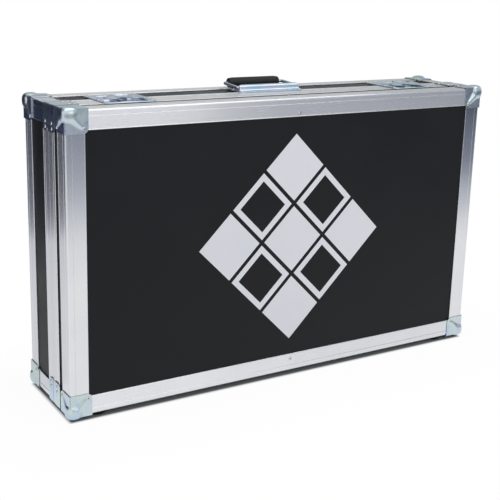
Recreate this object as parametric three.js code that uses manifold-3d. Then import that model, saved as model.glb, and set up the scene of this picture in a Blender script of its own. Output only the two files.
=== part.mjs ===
// A guitar pedal flight case that stands on its long side, as it is carried.
// It is a shallow lid and a deeper base of laminated board in aluminium edging.
// X runs along the width, Y to the rear and Z up, in millimetres, and the feet stand on Z = 0.
import * as THREE from "three";
import { mergeVertices } from "three/addons/utils/BufferGeometryUtils.js";
import Module from "manifold-3d";

// Body of the case, over the edging
const caseWidth = 777;
const caseDepth = 166;
const caseHeight = 462;
const lidDepth = 64.5;
const footHeight = 8;

// Boards and clearances
const boardThickness = 9;
const fitGap = 0.3;
const seamGap = 0.4;
const mitreGap = 0.15;
const cutOverrun = 5;

// Edge angles
const angleLeg = 30;
const angleWall = 1.5;
const angleEdgeRadius = 3;
const angleLipChamfer = 0.5;
const grooveFromEdge = 9.5;
const grooveWidth = 1;
const grooveDepth = 0.5;

// Tongue and groove closure frames
const closureWidth = 22.5;
const closureWall = 1.6;
const closureWeb = 1.5;
const closureInnerLip = 20;
const closureInnerWall = 1.2;
const closureLineFromSeam = 15;
const closureLineWidth = 0.8;
const tongueReach = 7.2;
const tongueDepth = 6.1;
const tongueNose = 1.2;
const tongueClearance = 0.5;
const tongueWall = 1.7;
const tongueTipClearance = 0.8;

// Ball corners
const cornerLeg = 34.5;
const cornerWall = 1.2;
const cornerChamfer = 4;
const ballInset = 7.5;
const ballBulge = 6.5;
const ballWall = 1.5;
const rivetInset = 7;
const rivetPadRadius = 3.6;
const rivetPadHeight = 0.6;

// Foam lining
const foamThickness = 8;
const foamLedge = 20;

// Feet
const footRadius = 15;
const footTipRadius = 13;
const footEdgeRadius = 1.5;
const footRecessRadius = 5;
const footRecessDepth = 4;
const footInsetX = 51;
const footInsetY = 20;

// Butterfly latches, each in a dish that the seam divides
const latchFromEnd = 118.5;
const dishHalfWidth = 43;
const dishLidReach = 27.5;
const dishBaseReach = 60;
const dishCornerRadius = 9;
const dishFlange = 1.2;
const panHalfWidth = 33;
const panLidReach = 24;
const panBaseReach = 49;
const panCornerRadius = 12;
const panDepth = 7;
const panWall = 1.2;
const pivotFromSeam = 20;
const spoolRadius = 14;
const spoolNeckRadius = 6;
const spoolTopRadius = 13;
const spoolFlange = 3.3;
const spoolCap = 1.6;
const spoolChamfer = 0.5;
const hookThickness = 2.5;
const hookHalfWidth = 13;
const hookReach = 15.5;
const hookTravel = 6.5;
const hookTail = 5;
const hookNoseLength = 3;
const hookNoseHeight = 1.6;
const hookCornerRadius = 4;
const keeperHalfWidth = 16;
const keeperLength = 3;
const keeperFromHookEnd = 3.5;
const wingPinRadius = 2.2;
const wingPinRise = 3.4;
const wingPinHalfLength = 12;
const earInner = 6;
const earOuter = 9;
const earRadius = 3.4;
const wingThickness = 1.6;
const wingStart = 5.2;
const lobeFromMiddle = 18.5;
const lobeForward = 15.5;
const lobeRadius = 12.5;
const domeRadiusX = 10.5;
const domeRadiusY = 9.8;
const domeHeight = 4.5;
const domeWall = 1.4;

// Carrying handle on a surface plate
const handlePlateBeyondKnuckle = 9.5;
const handlePlateWidth = 38;
const handlePlateFromSeam = 12.5;
const handlePlateThickness = 1.5;
const handlePlateRadius = 6;
const knuckleRadius = 5.4;
const knuckleFoot = 11;
const knuckleFromPlateEdge = 14;
const knuckleRise = 6.2;
const bailWireRadius = 2.75;
const bailReach = 48.5;
const bailBendRadius = 6;
const bailEndLength = 16;
const arcHandleShare = 0.5523;
const gripRadius = 8.8;
const gripEndRadius = 8;
const gripHalfLength = 48.5;
const gripEdgeRadius = 2;
const gripEndGap = 2;

// Hinges under the bottom seam
const hingeFromEnd = 153.5;
const hingeHalfLength = 38;
const hingeLeafWidth = 26;
const hingeLeafThickness = 1.5;
const knucklePinRadius = 1.3;
const hingeKnuckleRadius = 3;
const hingeKnuckleCount = 5;

// Facets on round forms
const edgeSteps = 3;
const roundSides = 24;
const smallSides = 12;
const wireSegments = 5;
const bailSteps = 48;
const domeSides = 14;
const domeRings = 8;
const ballDetail = 3;
const ballInnerDetail = 1;

// Planes of the case that everything is set from
const left = -caseWidth / 2;
const right = caseWidth / 2;
const front = -caseDepth / 2;
const rear = caseDepth / 2;
const bottom = footHeight;
const top = footHeight + caseHeight;
const seam = front + lidDepth;
const boardInset = angleWall + fitGap;
const boardInner = boardInset + boardThickness;
const liningInset = boardInner + fitGap + closureInnerWall + fitGap;
const latchPivotY = seam + pivotFromSeam;
const latchX = right - latchFromEnd;
const hingeX = right - hingeFromEnd;

const wasm = await Module();
wasm.setup();

// A closed geometry as a solid that can be joined and cut.
function solidOf(geometry) {
  const bare = geometry.clone();
  bare.deleteAttribute("normal");
  bare.deleteAttribute("uv");
  const merged = mergeVertices(bare);
  const triVerts = [];
  const index = merged.index.array;
  for (let i = 0; i < index.length; i += 3) {
    const [a, b, c] = index.slice(i, i + 3);
    if (a !== b && b !== c && c !== a) triVerts.push(a, b, c);
  }
  return new wasm.Manifold(
    new wasm.Mesh({
      numProp: 3,
      vertProperties: merged.attributes.position.array,
      triVerts: new Uint32Array(triVerts),
    }),
  );
}

// A solid as a geometry with flat shading.
function geometryOf(solid) {
  const mesh = solid.getMesh();
  const geometry = new THREE.BufferGeometry();
  geometry.setAttribute("position", new THREE.BufferAttribute(mesh.vertProperties, 3));
  geometry.setIndex(new THREE.BufferAttribute(mesh.triVerts, 1));
  const flat = geometry.toNonIndexed();
  flat.computeVertexNormals();
  return flat;
}

// A block between two corners.
function block(x0, x1, y0, y1, z0, z1) {
  const geometry = new THREE.BoxGeometry(Math.abs(x1 - x0), Math.abs(y1 - y0), Math.abs(z1 - z0));
  geometry.translate((x0 + x1) / 2, (y0 + y1) / 2, (z0 + z1) / 2);
  return solidOf(geometry);
}

// An outline in X and Y raised between two heights.
function raised(shape, z0, z1) {
  const geometry = new THREE.ExtrudeGeometry(shape, {
    depth: z1 - z0,
    bevelEnabled: false,
    curveSegments: edgeSteps,
  });
  geometry.translate(0, 0, z0);
  return solidOf(geometry);
}

// A round bar along X.
function barAlongX(radius, x0, x1, y, z, sides) {
  const geometry = new THREE.CylinderGeometry(radius, radius, x1 - x0, sides);
  geometry.rotateZ(Math.PI / 2);
  geometry.translate((x0 + x1) / 2, y, z);
  return solidOf(geometry);
}

// A profile of radius and height turned about the vertical axis.
function turned(profile, sides) {
  const points = profile.map(([radius, height]) => new THREE.Vector2(radius, height));
  const geometry = new THREE.LatheGeometry(points, sides);
  geometry.rotateX(Math.PI / 2);
  const solid = solidOf(geometry);
  if (solid.volume() > 0) return solid;
  const turnedOver = geometry.index.array;
  for (let i = 0; i < turnedOver.length; i += 3) {
    [turnedOver[i + 1], turnedOver[i + 2]] = [turnedOver[i + 2], turnedOver[i + 1]];
  }
  return solidOf(geometry);
}

// Points of a quarter arc between two directions.
function arcPoints(x, y, radius, from, to, steps) {
  const points = [];
  for (let i = 0; i <= steps; i++) {
    const angle = from + ((to - from) * i) / steps;
    points.push([x + radius * Math.cos(angle), y + radius * Math.sin(angle)]);
  }
  return points;
}

// A solid made in distances from a corner of the case, set at that corner.
// The three directions say where each distance leads, and may mirror the solid.
function setAt(solid, origin, u, v, w) {
  const matrix = new THREE.Matrix4().makeBasis(
    new THREE.Vector3(...u),
    new THREE.Vector3(...v),
    new THREE.Vector3(...w),
  );
  matrix.setPosition(...origin);
  return solid.transform(matrix.elements);
}

const blackLaminate = { color: 0x26272a, roughness: 0.75, metalness: 0 };
const anodised = { color: 0xc9cacd, roughness: 0.35, metalness: 0.9 };
const zinc = { color: 0xb9c4cc, roughness: 0.3, metalness: 0.95 };
const blackRubber = { color: 0x1d1d1f, roughness: 0.85, metalness: 0 };
const foam = { color: 0x2e2f32, roughness: 1, metalness: 0 };

const flightCase = new THREE.Group();
const baseHalf = new THREE.Group();
const lidHalf = new THREE.Group();
flightCase.add(baseHalf, lidHalf);

function addPiece(group, name, solid, finish) {
  const mesh = new THREE.Mesh(geometryOf(solid), new THREE.MeshStandardMaterial(finish));
  mesh.name = name;
  group.add(mesh);
}

// The four long edges of a half that run along the width or the height, and the corner they start from.
// Each has its flanges' directions and its own.
function faceEdges(y, inward) {
  const run = [0, inward, 0];
  return {
    top: { origin: [left, y, top], u: run, v: [0, 0, -1], w: [1, 0, 0], length: caseWidth },
    bottom: { origin: [left, y, bottom], u: run, v: [0, 0, 1], w: [1, 0, 0], length: caseWidth },
    left: { origin: [left, y, bottom], u: run, v: [1, 0, 0], w: [0, 0, 1], length: caseHeight },
    right: { origin: [right, y, bottom], u: run, v: [-1, 0, 0], w: [0, 0, 1], length: caseHeight },
  };
}

// The four corners of the front and rear rectangle, with their inward directions.
const fourCorners = {
  top_left: { x: left, z: top, dx: 1, dz: -1 },
  top_right: { x: right, z: top, dx: -1, dz: -1 },
  bottom_left: { x: left, z: bottom, dx: 1, dz: 1 },
  bottom_right: { x: right, z: bottom, dx: -1, dz: 1 },
};

// Section of the edge angle, with its outer corner at the origin and one fine groove in each flange.
function angleSection() {
  const lip = angleLipChamfer;
  const groove = [
    [grooveFromEdge - grooveWidth / 2, 0],
    [grooveFromEdge, grooveDepth],
    [grooveFromEdge + grooveWidth / 2, 0],
  ];
  const corner = arcPoints(
    angleEdgeRadius,
    angleEdgeRadius,
    angleEdgeRadius,
    -Math.PI / 2,
    -Math.PI,
    edgeSteps,
  );
  const points = [
    [angleLeg, angleWall],
    [angleLeg, lip],
    [angleLeg - lip, 0],
    ...groove.slice().reverse(),
    ...corner,
    ...groove.map(([along, deep]) => [deep, along]),
    [0, angleLeg - lip],
    [lip, angleLeg],
    [angleWall, angleLeg],
    [angleWall, angleWall],
  ];
  return new THREE.Shape(points.map(([x, y]) => new THREE.Vector2(x, y)));
}

// An edge angle along w. A mitred end steps back by each point's own distance from the corner,
// and no nearer to it than the ball corner leaves free.
function edgeAngle(length, farEndMitred) {
  const geometry = new THREE.ExtrudeGeometry(angleSection(), {
    depth: length,
    bevelEnabled: false,
  });
  const position = geometry.attributes.position;
  for (let i = 0; i < position.count; i++) {
    const setBack = Math.max(position.getX(i), position.getY(i), ballInset) + mitreGap;
    const atStart = position.getZ(i) < length / 2;
    if (atStart) position.setZ(i, setBack);
    else if (farEndMitred) position.setZ(i, length - setBack);
  }
  return solidOf(geometry);
}

function addEdgeAngles(group, half, y, inward, depthwiseLength) {
  for (const [side, edge] of Object.entries(faceEdges(y, inward))) {
    const angle = setAt(edgeAngle(edge.length, true), edge.origin, edge.u, edge.v, edge.w);
    addPiece(group, `${half}_${side}_angle`, angle, anodised);
  }
  for (const [corner, c] of Object.entries(fourCorners)) {
    const angle = edgeAngle(depthwiseLength, false);
    const placed = setAt(angle, [c.x, y, c.z], [c.dx, 0, 0], [0, 0, c.dz], [0, inward, 0]);
    addPiece(group, `${half}_${corner}_edge_angle`, placed, anodised);
  }
}

// A profile of distance from the seam and depth below the outer face, swept round the whole frame.
// The outer face turns the corner on an arc, and what lies below it on a mitre.
function frameSweep(profile, inward) {
  const loop = ["bottom_left", "bottom_right", "top_right", "top_left"];
  const sections = [];
  loop.forEach((name, order) => {
    const c = fourCorners[name];
    for (let step = 0; step <= edgeSteps; step++) {
      const share = order % 2 === 0 ? step / edgeSteps : 1 - step / edgeSteps;
      const turn = (share * Math.PI) / 2;
      sections.push({ ...c, alongX: Math.cos(turn), alongZ: Math.sin(turn) });
    }
  });
  const vertices = [];
  for (const s of sections) {
    for (const [fromSeam, depth] of profile) {
      const arc = depth < angleWall ? angleEdgeRadius - depth : 0;
      const centre = depth + arc;
      vertices.push(
        s.x + s.dx * (centre - arc * s.alongX),
        seam + inward * fromSeam,
        s.z + s.dz * (centre - arc * s.alongZ),
      );
    }
  }
  const count = profile.length;
  const triangles = [];
  for (let i = 0; i < sections.length; i++) {
    const next = ((i + 1) % sections.length) * count;
    for (let p = 0; p < count; p++) {
      const q = (p + 1) % count;
      triangles.push(i * count + p, next + p, next + q);
      triangles.push(i * count + p, next + q, i * count + q);
    }
  }
  const geometry = new THREE.BufferGeometry();
  geometry.setAttribute("position", new THREE.Float32BufferAttribute(vertices, 3));
  if (inward > 0) triangles.reverse();
  geometry.setIndex(triangles);
  return solidOf(geometry);
}

// The fine line along the outer face of a closure.
function closureLine() {
  return [
    [closureLineFromSeam - closureLineWidth / 2, 0],
    [closureLineFromSeam, grooveDepth],
    [closureLineFromSeam + closureLineWidth / 2, 0],
  ];
}

// Female closure on the lid: an outer flange that laps over the tongue, a web and an inner lip.
function lidClosureProfile() {
  const webFront = tongueReach + tongueTipClearance;
  const webBack = webFront + closureWeb;
  const lipTop = boardInner + fitGap;
  const lipBottom = lipTop + closureInnerWall;
  return [
    [seamGap / 2, 0],
    ...closureLine(),
    [closureWidth, 0],
    [closureWidth, angleWall],
    [webBack, angleWall],
    [webBack, lipTop],
    [closureInnerLip, lipTop],
    [closureInnerLip, lipBottom],
    [webFront, lipBottom],
    [webFront, closureWall],
    [seamGap / 2, closureWall],
  ];
}

// Male closure on the base: the outer flange, the hollow tongue with its tapered nose, and the inner lip.
function baseClosureProfile() {
  const face = seamGap / 2;
  const webBack = face + closureWeb;
  const tongueTop = closureWall + tongueClearance;
  const tongueBottom = tongueTop + tongueDepth;
  const lipTop = boardInner + fitGap;
  const lipBottom = lipTop + closureInnerWall;
  return [
    [face, 0],
    ...closureLine(),
    [closureWidth, 0],
    [closureWidth, angleWall],
    [webBack, angleWall],
    [webBack, tongueTop + tongueWall],
    [tongueWall - tongueReach, tongueTop + tongueWall],
    [tongueWall - tongueReach, tongueBottom - tongueWall],
    [webBack, tongueBottom - tongueWall],
    [webBack, lipTop],
    [closureInnerLip, lipTop],
    [closureInnerLip, lipBottom],
    [face, lipBottom],
    [face, tongueBottom],
    [tongueNose - tongueReach, tongueBottom],
    [-tongueReach, tongueBottom - tongueNose],
    [-tongueReach, tongueTop + tongueNose],
    [tongueNose - tongueReach, tongueTop],
    [face, tongueTop],
  ];
}

// What a latch's pan takes out of the closures and boards.
function latchCutOut(x, depthBelowFace) {
  const half = panHalfWidth + fitGap;
  return block(
    x - half,
    x + half,
    seam - panLidReach - fitGap,
    seam + panBaseReach + fitGap,
    top - depthBelowFace,
    top + cutOverrun,
  );
}

function withLatchCutOuts(solid, depthBelowFace) {
  return solid
    .subtract(latchCutOut(-latchX, depthBelowFace))
    .subtract(latchCutOut(latchX, depthBelowFace));
}

// The base's edge angles run on to the seam, so the frame's outer flange stops short of them.
function withoutAngleLaps(solid) {
  const lap = angleLeg + fitGap;
  let rest = solid;
  for (const c of Object.values(fourCorners)) {
    const overX = c.x - c.dx * cutOverrun;
    const overZ = c.z - c.dz * cutOverrun;
    const ends = [seam - cutOverrun, seam + closureWidth + cutOverrun];
    const onFace = [c.z + c.dz * boardInset, c.x + c.dx * boardInset];
    rest = rest.subtract(block(overX, c.x + c.dx * lap, ...ends, overZ, onFace[0]));
    rest = rest.subtract(block(overX, onFace[1], ...ends, overZ, c.z + c.dz * lap));
  }
  return rest;
}

function addClosures() {
  const panBottom = panDepth + panWall + fitGap;
  const lidFrame = frameSweep(lidClosureProfile(), -1);
  addPiece(lidHalf, "lid_closure_frame", withLatchCutOuts(lidFrame, panBottom), anodised);
  const baseFrame = withoutAngleLaps(frameSweep(baseClosureProfile(), 1));
  addPiece(baseHalf, "base_closure_frame", withLatchCutOuts(baseFrame, panBottom), anodised);
}

// The room that the ball corners take from the boards, in all eight corners.
function withoutBallRoom(solid) {
  const room = ballInset + fitGap;
  let rest = solid;
  for (const c of Object.values(fourCorners)) {
    for (const [y, inward] of [[front, 1], [rear, -1]]) {
      rest = rest.subtract(
        block(
          c.x - c.dx * cutOverrun,
          c.x + c.dx * room,
          y - inward * cutOverrun,
          y + inward * room,
          c.z - c.dz * cutOverrun,
          c.z + c.dz * room,
        ),
      );
    }
  }
  return rest;
}

// The outer board and the four side boards of one half.
function addBoards(group, half, faceName, y, inward, sideEnd) {
  const faceIn = y + inward * boardInset;
  const faceOut = y + inward * boardInner;
  const sideStart = faceOut + inward * fitGap;
  const [xL, xR] = [left + boardInset, right - boardInset];
  const [zB, zT] = [bottom + boardInset, top - boardInset];
  const faceBoard = block(xL, xR, faceIn, faceOut, zB, zT);
  const upright = [sideStart, sideEnd, zB + boardThickness + fitGap, zT - boardThickness - fitGap];
  const boards = {
    [faceName]: faceBoard,
    top: block(xL, xR, sideStart, sideEnd, zT - boardThickness, zT),
    bottom: block(xL, xR, sideStart, sideEnd, zB, zB + boardThickness),
    left: block(xL, xL + boardThickness, ...upright),
    right: block(xR - boardThickness, xR, ...upright),
  };
  boards.top = withLatchCutOuts(boards.top, boardInner + cutOverrun);
  for (const [side, board] of Object.entries(boards)) {
    addPiece(group, `${half}_${side}_panel`, withoutBallRoom(board), blackLaminate);
  }
}

// A square with one rounded corner at the outer edge and one cropped corner opposite.
function cornerOutline(offset, far, crop) {
  const radius = angleEdgeRadius - offset;
  const round = arcPoints(angleEdgeRadius, angleEdgeRadius, radius, -Math.PI / 2, -Math.PI, edgeSteps);
  const points = [
    ...round,
    [offset, far],
    [far - crop, far],
    [far, far - crop],
    [far, offset],
  ];
  return new THREE.Shape(points.map(([x, y]) => new THREE.Vector2(x, y)));
}

// The outline as a prism along all three edges at once: what the three have in common.
function roundedOctant(offset, far, crop) {
  const along = raised(cornerOutline(offset, far, crop), offset, far);
  const turnOnce = setAt(along, [0, 0, 0], [0, 1, 0], [0, 0, 1], [1, 0, 0]);
  const turnTwice = setAt(along, [0, 0, 0], [0, 0, 1], [1, 0, 0], [0, 1, 0]);
  return along.intersect(turnOnce).intersect(turnTwice);
}

function ballAt(radius, detail) {
  const geometry = new THREE.IcosahedronGeometry(radius, detail);
  geometry.translate(ballInset, ballInset, ballInset);
  return solidOf(geometry);
}

// A pressed ball corner, in distances from the case's corner: three legs that fold round the edges
// and a hollow ball in place of the point.
function ballCorner() {
  const outerFace = -fitGap - cornerWall;
  const point = block(-cutOverrun, ballInset, -cutOverrun, ballInset, -cutOverrun, ballInset);
  const ballRadius = ballInset + ballBulge;
  const legs = roundedOctant(outerFace, cornerLeg, cornerChamfer).subtract(point);
  const cavity = roundedOctant(-fitGap, cornerLeg + cutOverrun, 0).subtract(point);
  const near = cornerLeg - cutOverrun;
  const around = block(-cutOverrun, near, -cutOverrun, near, -cutOverrun, near);
  const ball = ballAt(ballRadius, ballDetail).intersect(around);
  const hollow = ballAt(ballRadius - ballWall, ballInnerDetail);
  return legs.add(ball).add(rivetPads(outerFace)).subtract(cavity).subtract(hollow);
}

// A low round pad under the rivet of each leg.
function rivetPads(outerFace) {
  const centre = cornerLeg - rivetInset;
  const pad = turned(
    [
      [0, outerFace - rivetPadHeight],
      [rivetPadRadius - rivetPadHeight, outerFace - rivetPadHeight],
      [rivetPadRadius, outerFace],
      [rivetPadRadius, outerFace + cornerWall / 2],
      [0, outerFace + cornerWall / 2],
    ],
    smallSides,
  ).translate([centre, centre, 0]);
  const second = setAt(pad, [0, 0, 0], [0, 1, 0], [0, 0, 1], [1, 0, 0]);
  const third = setAt(pad, [0, 0, 0], [0, 0, 1], [1, 0, 0], [0, 1, 0]);
  return pad.add(second).add(third);
}

function addBallCorners() {
  const corner = ballCorner();
  const halves = [
    { group: lidHalf, half: "lid", y: front, inward: 1 },
    { group: baseHalf, half: "base", y: rear, inward: -1 },
  ];
  for (const { group, half, y, inward } of halves) {
    for (const [name, c] of Object.entries(fourCorners)) {
      const placed = setAt(corner, [c.x, y, c.z], [c.dx, 0, 0], [0, inward, 0], [0, 0, c.dz]);
      addPiece(group, `${half}_${name}_ball_corner`, placed, zinc);
    }
  }
}

// A round rubber foot with a recess for its screw.
function addFeet() {
  const headroom = bottom - fitGap;
  const profile = [
    [footRecessRadius, 0],
    [footTipRadius - footEdgeRadius, 0],
    [footTipRadius, footEdgeRadius],
    [footRadius, headroom],
    [0, headroom],
    [0, footRecessDepth],
    [footRecessRadius, footRecessDepth],
    [footRecessRadius, 0],
  ];
  const foot = turned(profile, roundSides);
  for (const [half, group, y] of [
    ["lid", lidHalf, front + footInsetY],
    ["base", baseHalf, rear - footInsetY],
  ]) {
    addPiece(group, `${half}_left_foot`, foot.translate([left + footInsetX, y, 0]), blackRubber);
    addPiece(group, `${half}_right_foot`, foot.translate([right - footInsetX, y, 0]), blackRubber);
  }
}

// Foam: a lined tray in the base with a chamfered mouth, and a pad with a raised rim in the lid.
function addFoam() {
  const outerX = right - liningInset;
  const [outerB, outerT] = [bottom + liningInset, top - liningInset];
  const baseBack = rear - boardInner - fitGap;
  const baseMouth = seam + seamGap;
  const tray = block(-outerX, outerX, baseMouth, baseBack, outerB, outerT).subtract(
    block(
      -outerX + foamThickness,
      outerX - foamThickness,
      baseMouth - cutOverrun,
      baseBack - foamThickness,
      outerB + foamThickness,
      outerT - foamThickness,
    ),
  );
  addPiece(baseHalf, "base_foam_lining", tray, foam);
  const lidFace = front + boardInner + fitGap;
  const rimEnd = lidFace + foamThickness + foamLedge;
  const pad = block(-outerX, outerX, lidFace, rimEnd, outerB, outerT).subtract(
    block(
      -outerX + foamThickness,
      outerX - foamThickness,
      lidFace + foamThickness,
      rimEnd + cutOverrun,
      outerB + foamThickness,
      outerT - foamThickness,
    ),
  );
  addPiece(lidHalf, "lid_foam_pad", pad, foam);
}

// A rectangle from the seam outwards, whose two far corners are rounded.
function seamOutline(halfWidth, near, far, radius) {
  const way = Math.sign(far - near);
  const centre = far - way * radius;
  const points = [
    [-halfWidth, near],
    [halfWidth, near],
    ...arcPoints(halfWidth - radius, 0, radius, 0, Math.PI / 2, edgeSteps),
    ...arcPoints(radius - halfWidth, 0, radius, Math.PI / 2, Math.PI, edgeSteps),
  ];
  const placed = points.map(([x, y], i) => new THREE.Vector2(x, i < 2 ? y : centre + way * y));
  return new THREE.Shape(placed);
}

// One part of a latch dish: a flange on the closures and a pan that is open towards the seam.
function dishPart(way, flangeReach, panReach) {
  const near = seam + (way * seamGap) / 2;
  const flangeTop = top + fitGap + dishFlange;
  const flange = raised(
    seamOutline(dishHalfWidth, near, seam + way * flangeReach, dishCornerRadius),
    top + fitGap,
    flangeTop,
  );
  const pan = raised(
    seamOutline(panHalfWidth, near, seam + way * panReach, panCornerRadius),
    top - panDepth - panWall,
    flangeTop,
  );
  const hollow = raised(
    seamOutline(
      panHalfWidth - panWall,
      near - way * cutOverrun,
      seam + way * (panReach - panWall),
      panCornerRadius - panWall,
    ),
    top - panDepth,
    flangeTop + cutOverrun,
  );
  return flange.add(pan).subtract(hollow);
}

// Heights of the latch's layers, from the pan's floor up.
const spoolBottom = top - panDepth + fitGap;
const hookBottom = spoolBottom + spoolFlange + fitGap;
const hookTop = hookBottom + hookThickness;
const capBottom = hookTop + fitGap;
const capTop = capBottom + spoolCap;
const wingPinZ = capTop + wingPinRise - wingThickness / 2;
const hookEnd = seam - hookReach;

// The ridge on the lid's dish that the hook reaches over.
function keeperRidge() {
  const y = hookEnd + keeperFromHookEnd;
  const ridgeTop = hookBottom - fitGap;
  const radius = keeperLength / 2;
  const bar = barAlongX(radius, -keeperHalfWidth, keeperHalfWidth, y, ridgeTop - radius, smallSides);
  const foot = block(
    -keeperHalfWidth,
    keeperHalfWidth,
    y - radius,
    y + radius,
    top - panDepth - panWall / 2,
    ridgeTop - radius,
  );
  return bar.add(foot);
}

// The hook: a flat tongue that slides on the spool's neck, with a raised nose.
function latchHook() {
  const slotHalf = spoolNeckRadius + fitGap;
  const tailEnd = latchPivotY + slotHalf + hookTravel + hookTail;
  const outline = new THREE.Shape();
  outline.moveTo(-hookHalfWidth, tailEnd - hookCornerRadius);
  outline.lineTo(-hookHalfWidth, hookEnd);
  outline.lineTo(hookHalfWidth, hookEnd);
  outline.lineTo(hookHalfWidth, tailEnd - hookCornerRadius);
  outline.absarc(
    hookHalfWidth - hookCornerRadius,
    tailEnd - hookCornerRadius,
    hookCornerRadius,
    0,
    Math.PI / 2,
  );
  outline.absarc(
    hookCornerRadius - hookHalfWidth,
    tailEnd - hookCornerRadius,
    hookCornerRadius,
    Math.PI / 2,
    Math.PI,
  );
  const slot = new THREE.Path();
  slot.absarc(0, latchPivotY + hookTravel, slotHalf, 0, Math.PI);
  slot.absarc(0, latchPivotY, slotHalf, Math.PI, Math.PI * 2);
  outline.holes.push(slot);
  const geometry = new THREE.ExtrudeGeometry(outline, {
    depth: hookThickness,
    bevelEnabled: false,
    curveSegments: smallSides / 2,
  });
  geometry.translate(0, 0, hookBottom);
  const noseTop = hookTop + hookNoseHeight - hookNoseLength / 2;
  const noseY = hookEnd + hookNoseLength / 2;
  const nose = block(
    -hookHalfWidth,
    hookHalfWidth,
    hookEnd,
    hookEnd + hookNoseLength,
    hookBottom + hookThickness / 2,
    noseTop,
  );
  const roll = barAlongX(hookNoseLength / 2, -hookHalfWidth, hookHalfWidth, noseY, noseTop, smallSides);
  return solidOf(geometry).add(nose).add(roll);
}

// The spool that turns in the dish: two flanges with the hook between them, and two ears for the wing's pin.
function latchSpool() {
  const spool = turned(
    [
      [0, spoolBottom],
      [spoolRadius, spoolBottom],
      [spoolRadius, hookBottom - fitGap],
      [spoolNeckRadius, hookBottom - fitGap],
      [spoolNeckRadius, capBottom],
      [spoolTopRadius, capBottom],
      [spoolTopRadius, capTop - spoolChamfer],
      [spoolTopRadius - spoolChamfer, capTop],
      [0, capTop],
    ],
    roundSides,
  );
  let solid = spool;
  for (const side of [-1, 1]) {
    const [x0, x1] = [side * earInner, side * earOuter].sort((a, b) => a - b);
    const root = block(x0, x1, -earRadius, earRadius, capBottom + spoolCap / 2, wingPinZ);
    solid = solid.add(root).add(barAlongX(earRadius, x0, x1, 0, wingPinZ, smallSides));
  }
  const reach = wingPinHalfLength + cutOverrun;
  const pinHole = barAlongX(wingPinRadius + fitGap, -reach, reach, 0, wingPinZ, smallSides);
  return solid.subtract(pinHole).translate([0, latchPivotY, 0]);
}

// One half of the wing: a round lobe pressed up into a dome.
function wingLobe(side) {
  const outline = new THREE.Shape();
  outline.absarc(side * lobeFromMiddle, -lobeForward, lobeRadius, 0, Math.PI * 2);
  const plate = new THREE.ExtrudeGeometry(outline, {
    depth: wingThickness,
    bevelEnabled: false,
    curveSegments: domeRings,
  });
  plate.translate(0, 0, wingPinZ - wingThickness / 2);
  const dome = (wall) => {
    const ball = new THREE.SphereGeometry(1, domeSides, domeRings);
    ball.rotateX(Math.PI / 2);
    ball.scale(domeRadiusX - wall, domeRadiusY - wall, domeHeight - wall);
    ball.translate(side * lobeFromMiddle, -lobeForward, wingPinZ - wingThickness / 2);
    return solidOf(ball);
  };
  const reach = lobeFromMiddle + lobeRadius;
  const above = block(
    -reach,
    reach,
    -lobeForward - lobeRadius,
    0,
    wingPinZ - wingThickness / 2,
    wingPinZ + domeHeight,
  );
  return { body: solidOf(plate).add(dome(0).intersect(above)), hollow: dome(domeWall) };
}

// The butterfly wing, folded forward over the dish, with its pin in the spool's ears.
function latchWing() {
  const half = wingThickness / 2;
  const [low, high] = [wingPinZ - half, wingPinZ + half];
  const pin = barAlongX(
    wingPinRadius,
    -wingPinHalfLength,
    wingPinHalfLength,
    0,
    wingPinZ,
    smallSides,
  );
  const bridge = block(-lobeFromMiddle, lobeFromMiddle, -lobeForward, -wingStart, low, high);
  const clear = earInner - fitGap;
  const middle = block(-clear, clear, -wingStart - half, 0, low, high);
  let solid = pin.add(bridge).add(middle);
  for (const side of [-1, 1]) {
    const inner = side * (earOuter + fitGap);
    const outer = side * wingPinHalfLength;
    const lug = block(inner, outer, -wingStart - half, 0, low, high);
    const lobe = wingLobe(side);
    solid = solid.add(lug).add(lobe.body).subtract(lobe.hollow);
  }
  return solid.translate([0, latchPivotY, 0]);
}

function addLatches() {
  const lidDish = dishPart(-1, dishLidReach, panLidReach).add(keeperRidge());
  const baseDish = dishPart(1, dishBaseReach, panBaseReach);
  const hook = latchHook();
  const spool = latchSpool();
  const wing = latchWing();
  for (const [side, x] of [
    ["left", -latchX],
    ["right", latchX],
  ]) {
    addPiece(lidHalf, `${side}_latch_lid_dish`, lidDish.translate([x, 0, 0]), zinc);
    addPiece(baseHalf, `${side}_latch_base_dish`, baseDish.translate([x, 0, 0]), zinc);
    addPiece(baseHalf, `${side}_latch_hook`, hook.translate([x, 0, 0]), zinc);
    addPiece(baseHalf, `${side}_latch_spool`, spool.translate([x, 0, 0]), zinc);
    addPiece(baseHalf, `${side}_latch_wing`, wing.translate([x, 0, 0]), zinc);
  }
}

// Where the handle's pivot and plate lie.
const plateFront = seam + handlePlateFromSeam;
const plateBottom = top + fitGap;
const knuckleHalfLength = gripHalfLength + gripEndGap;
const bailHalfWidth = knuckleHalfLength + bailBendRadius;
const handlePlateHalfLength = knuckleHalfLength + handlePlateBeyondKnuckle;
const bailPivotY = plateFront + knuckleFromPlateEdge;
const bailPivotZ = plateBottom + knuckleRise;
const gripZ = top + fitGap + gripRadius;
const bailTilt = Math.asin((gripZ - bailPivotZ) / bailReach);

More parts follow.
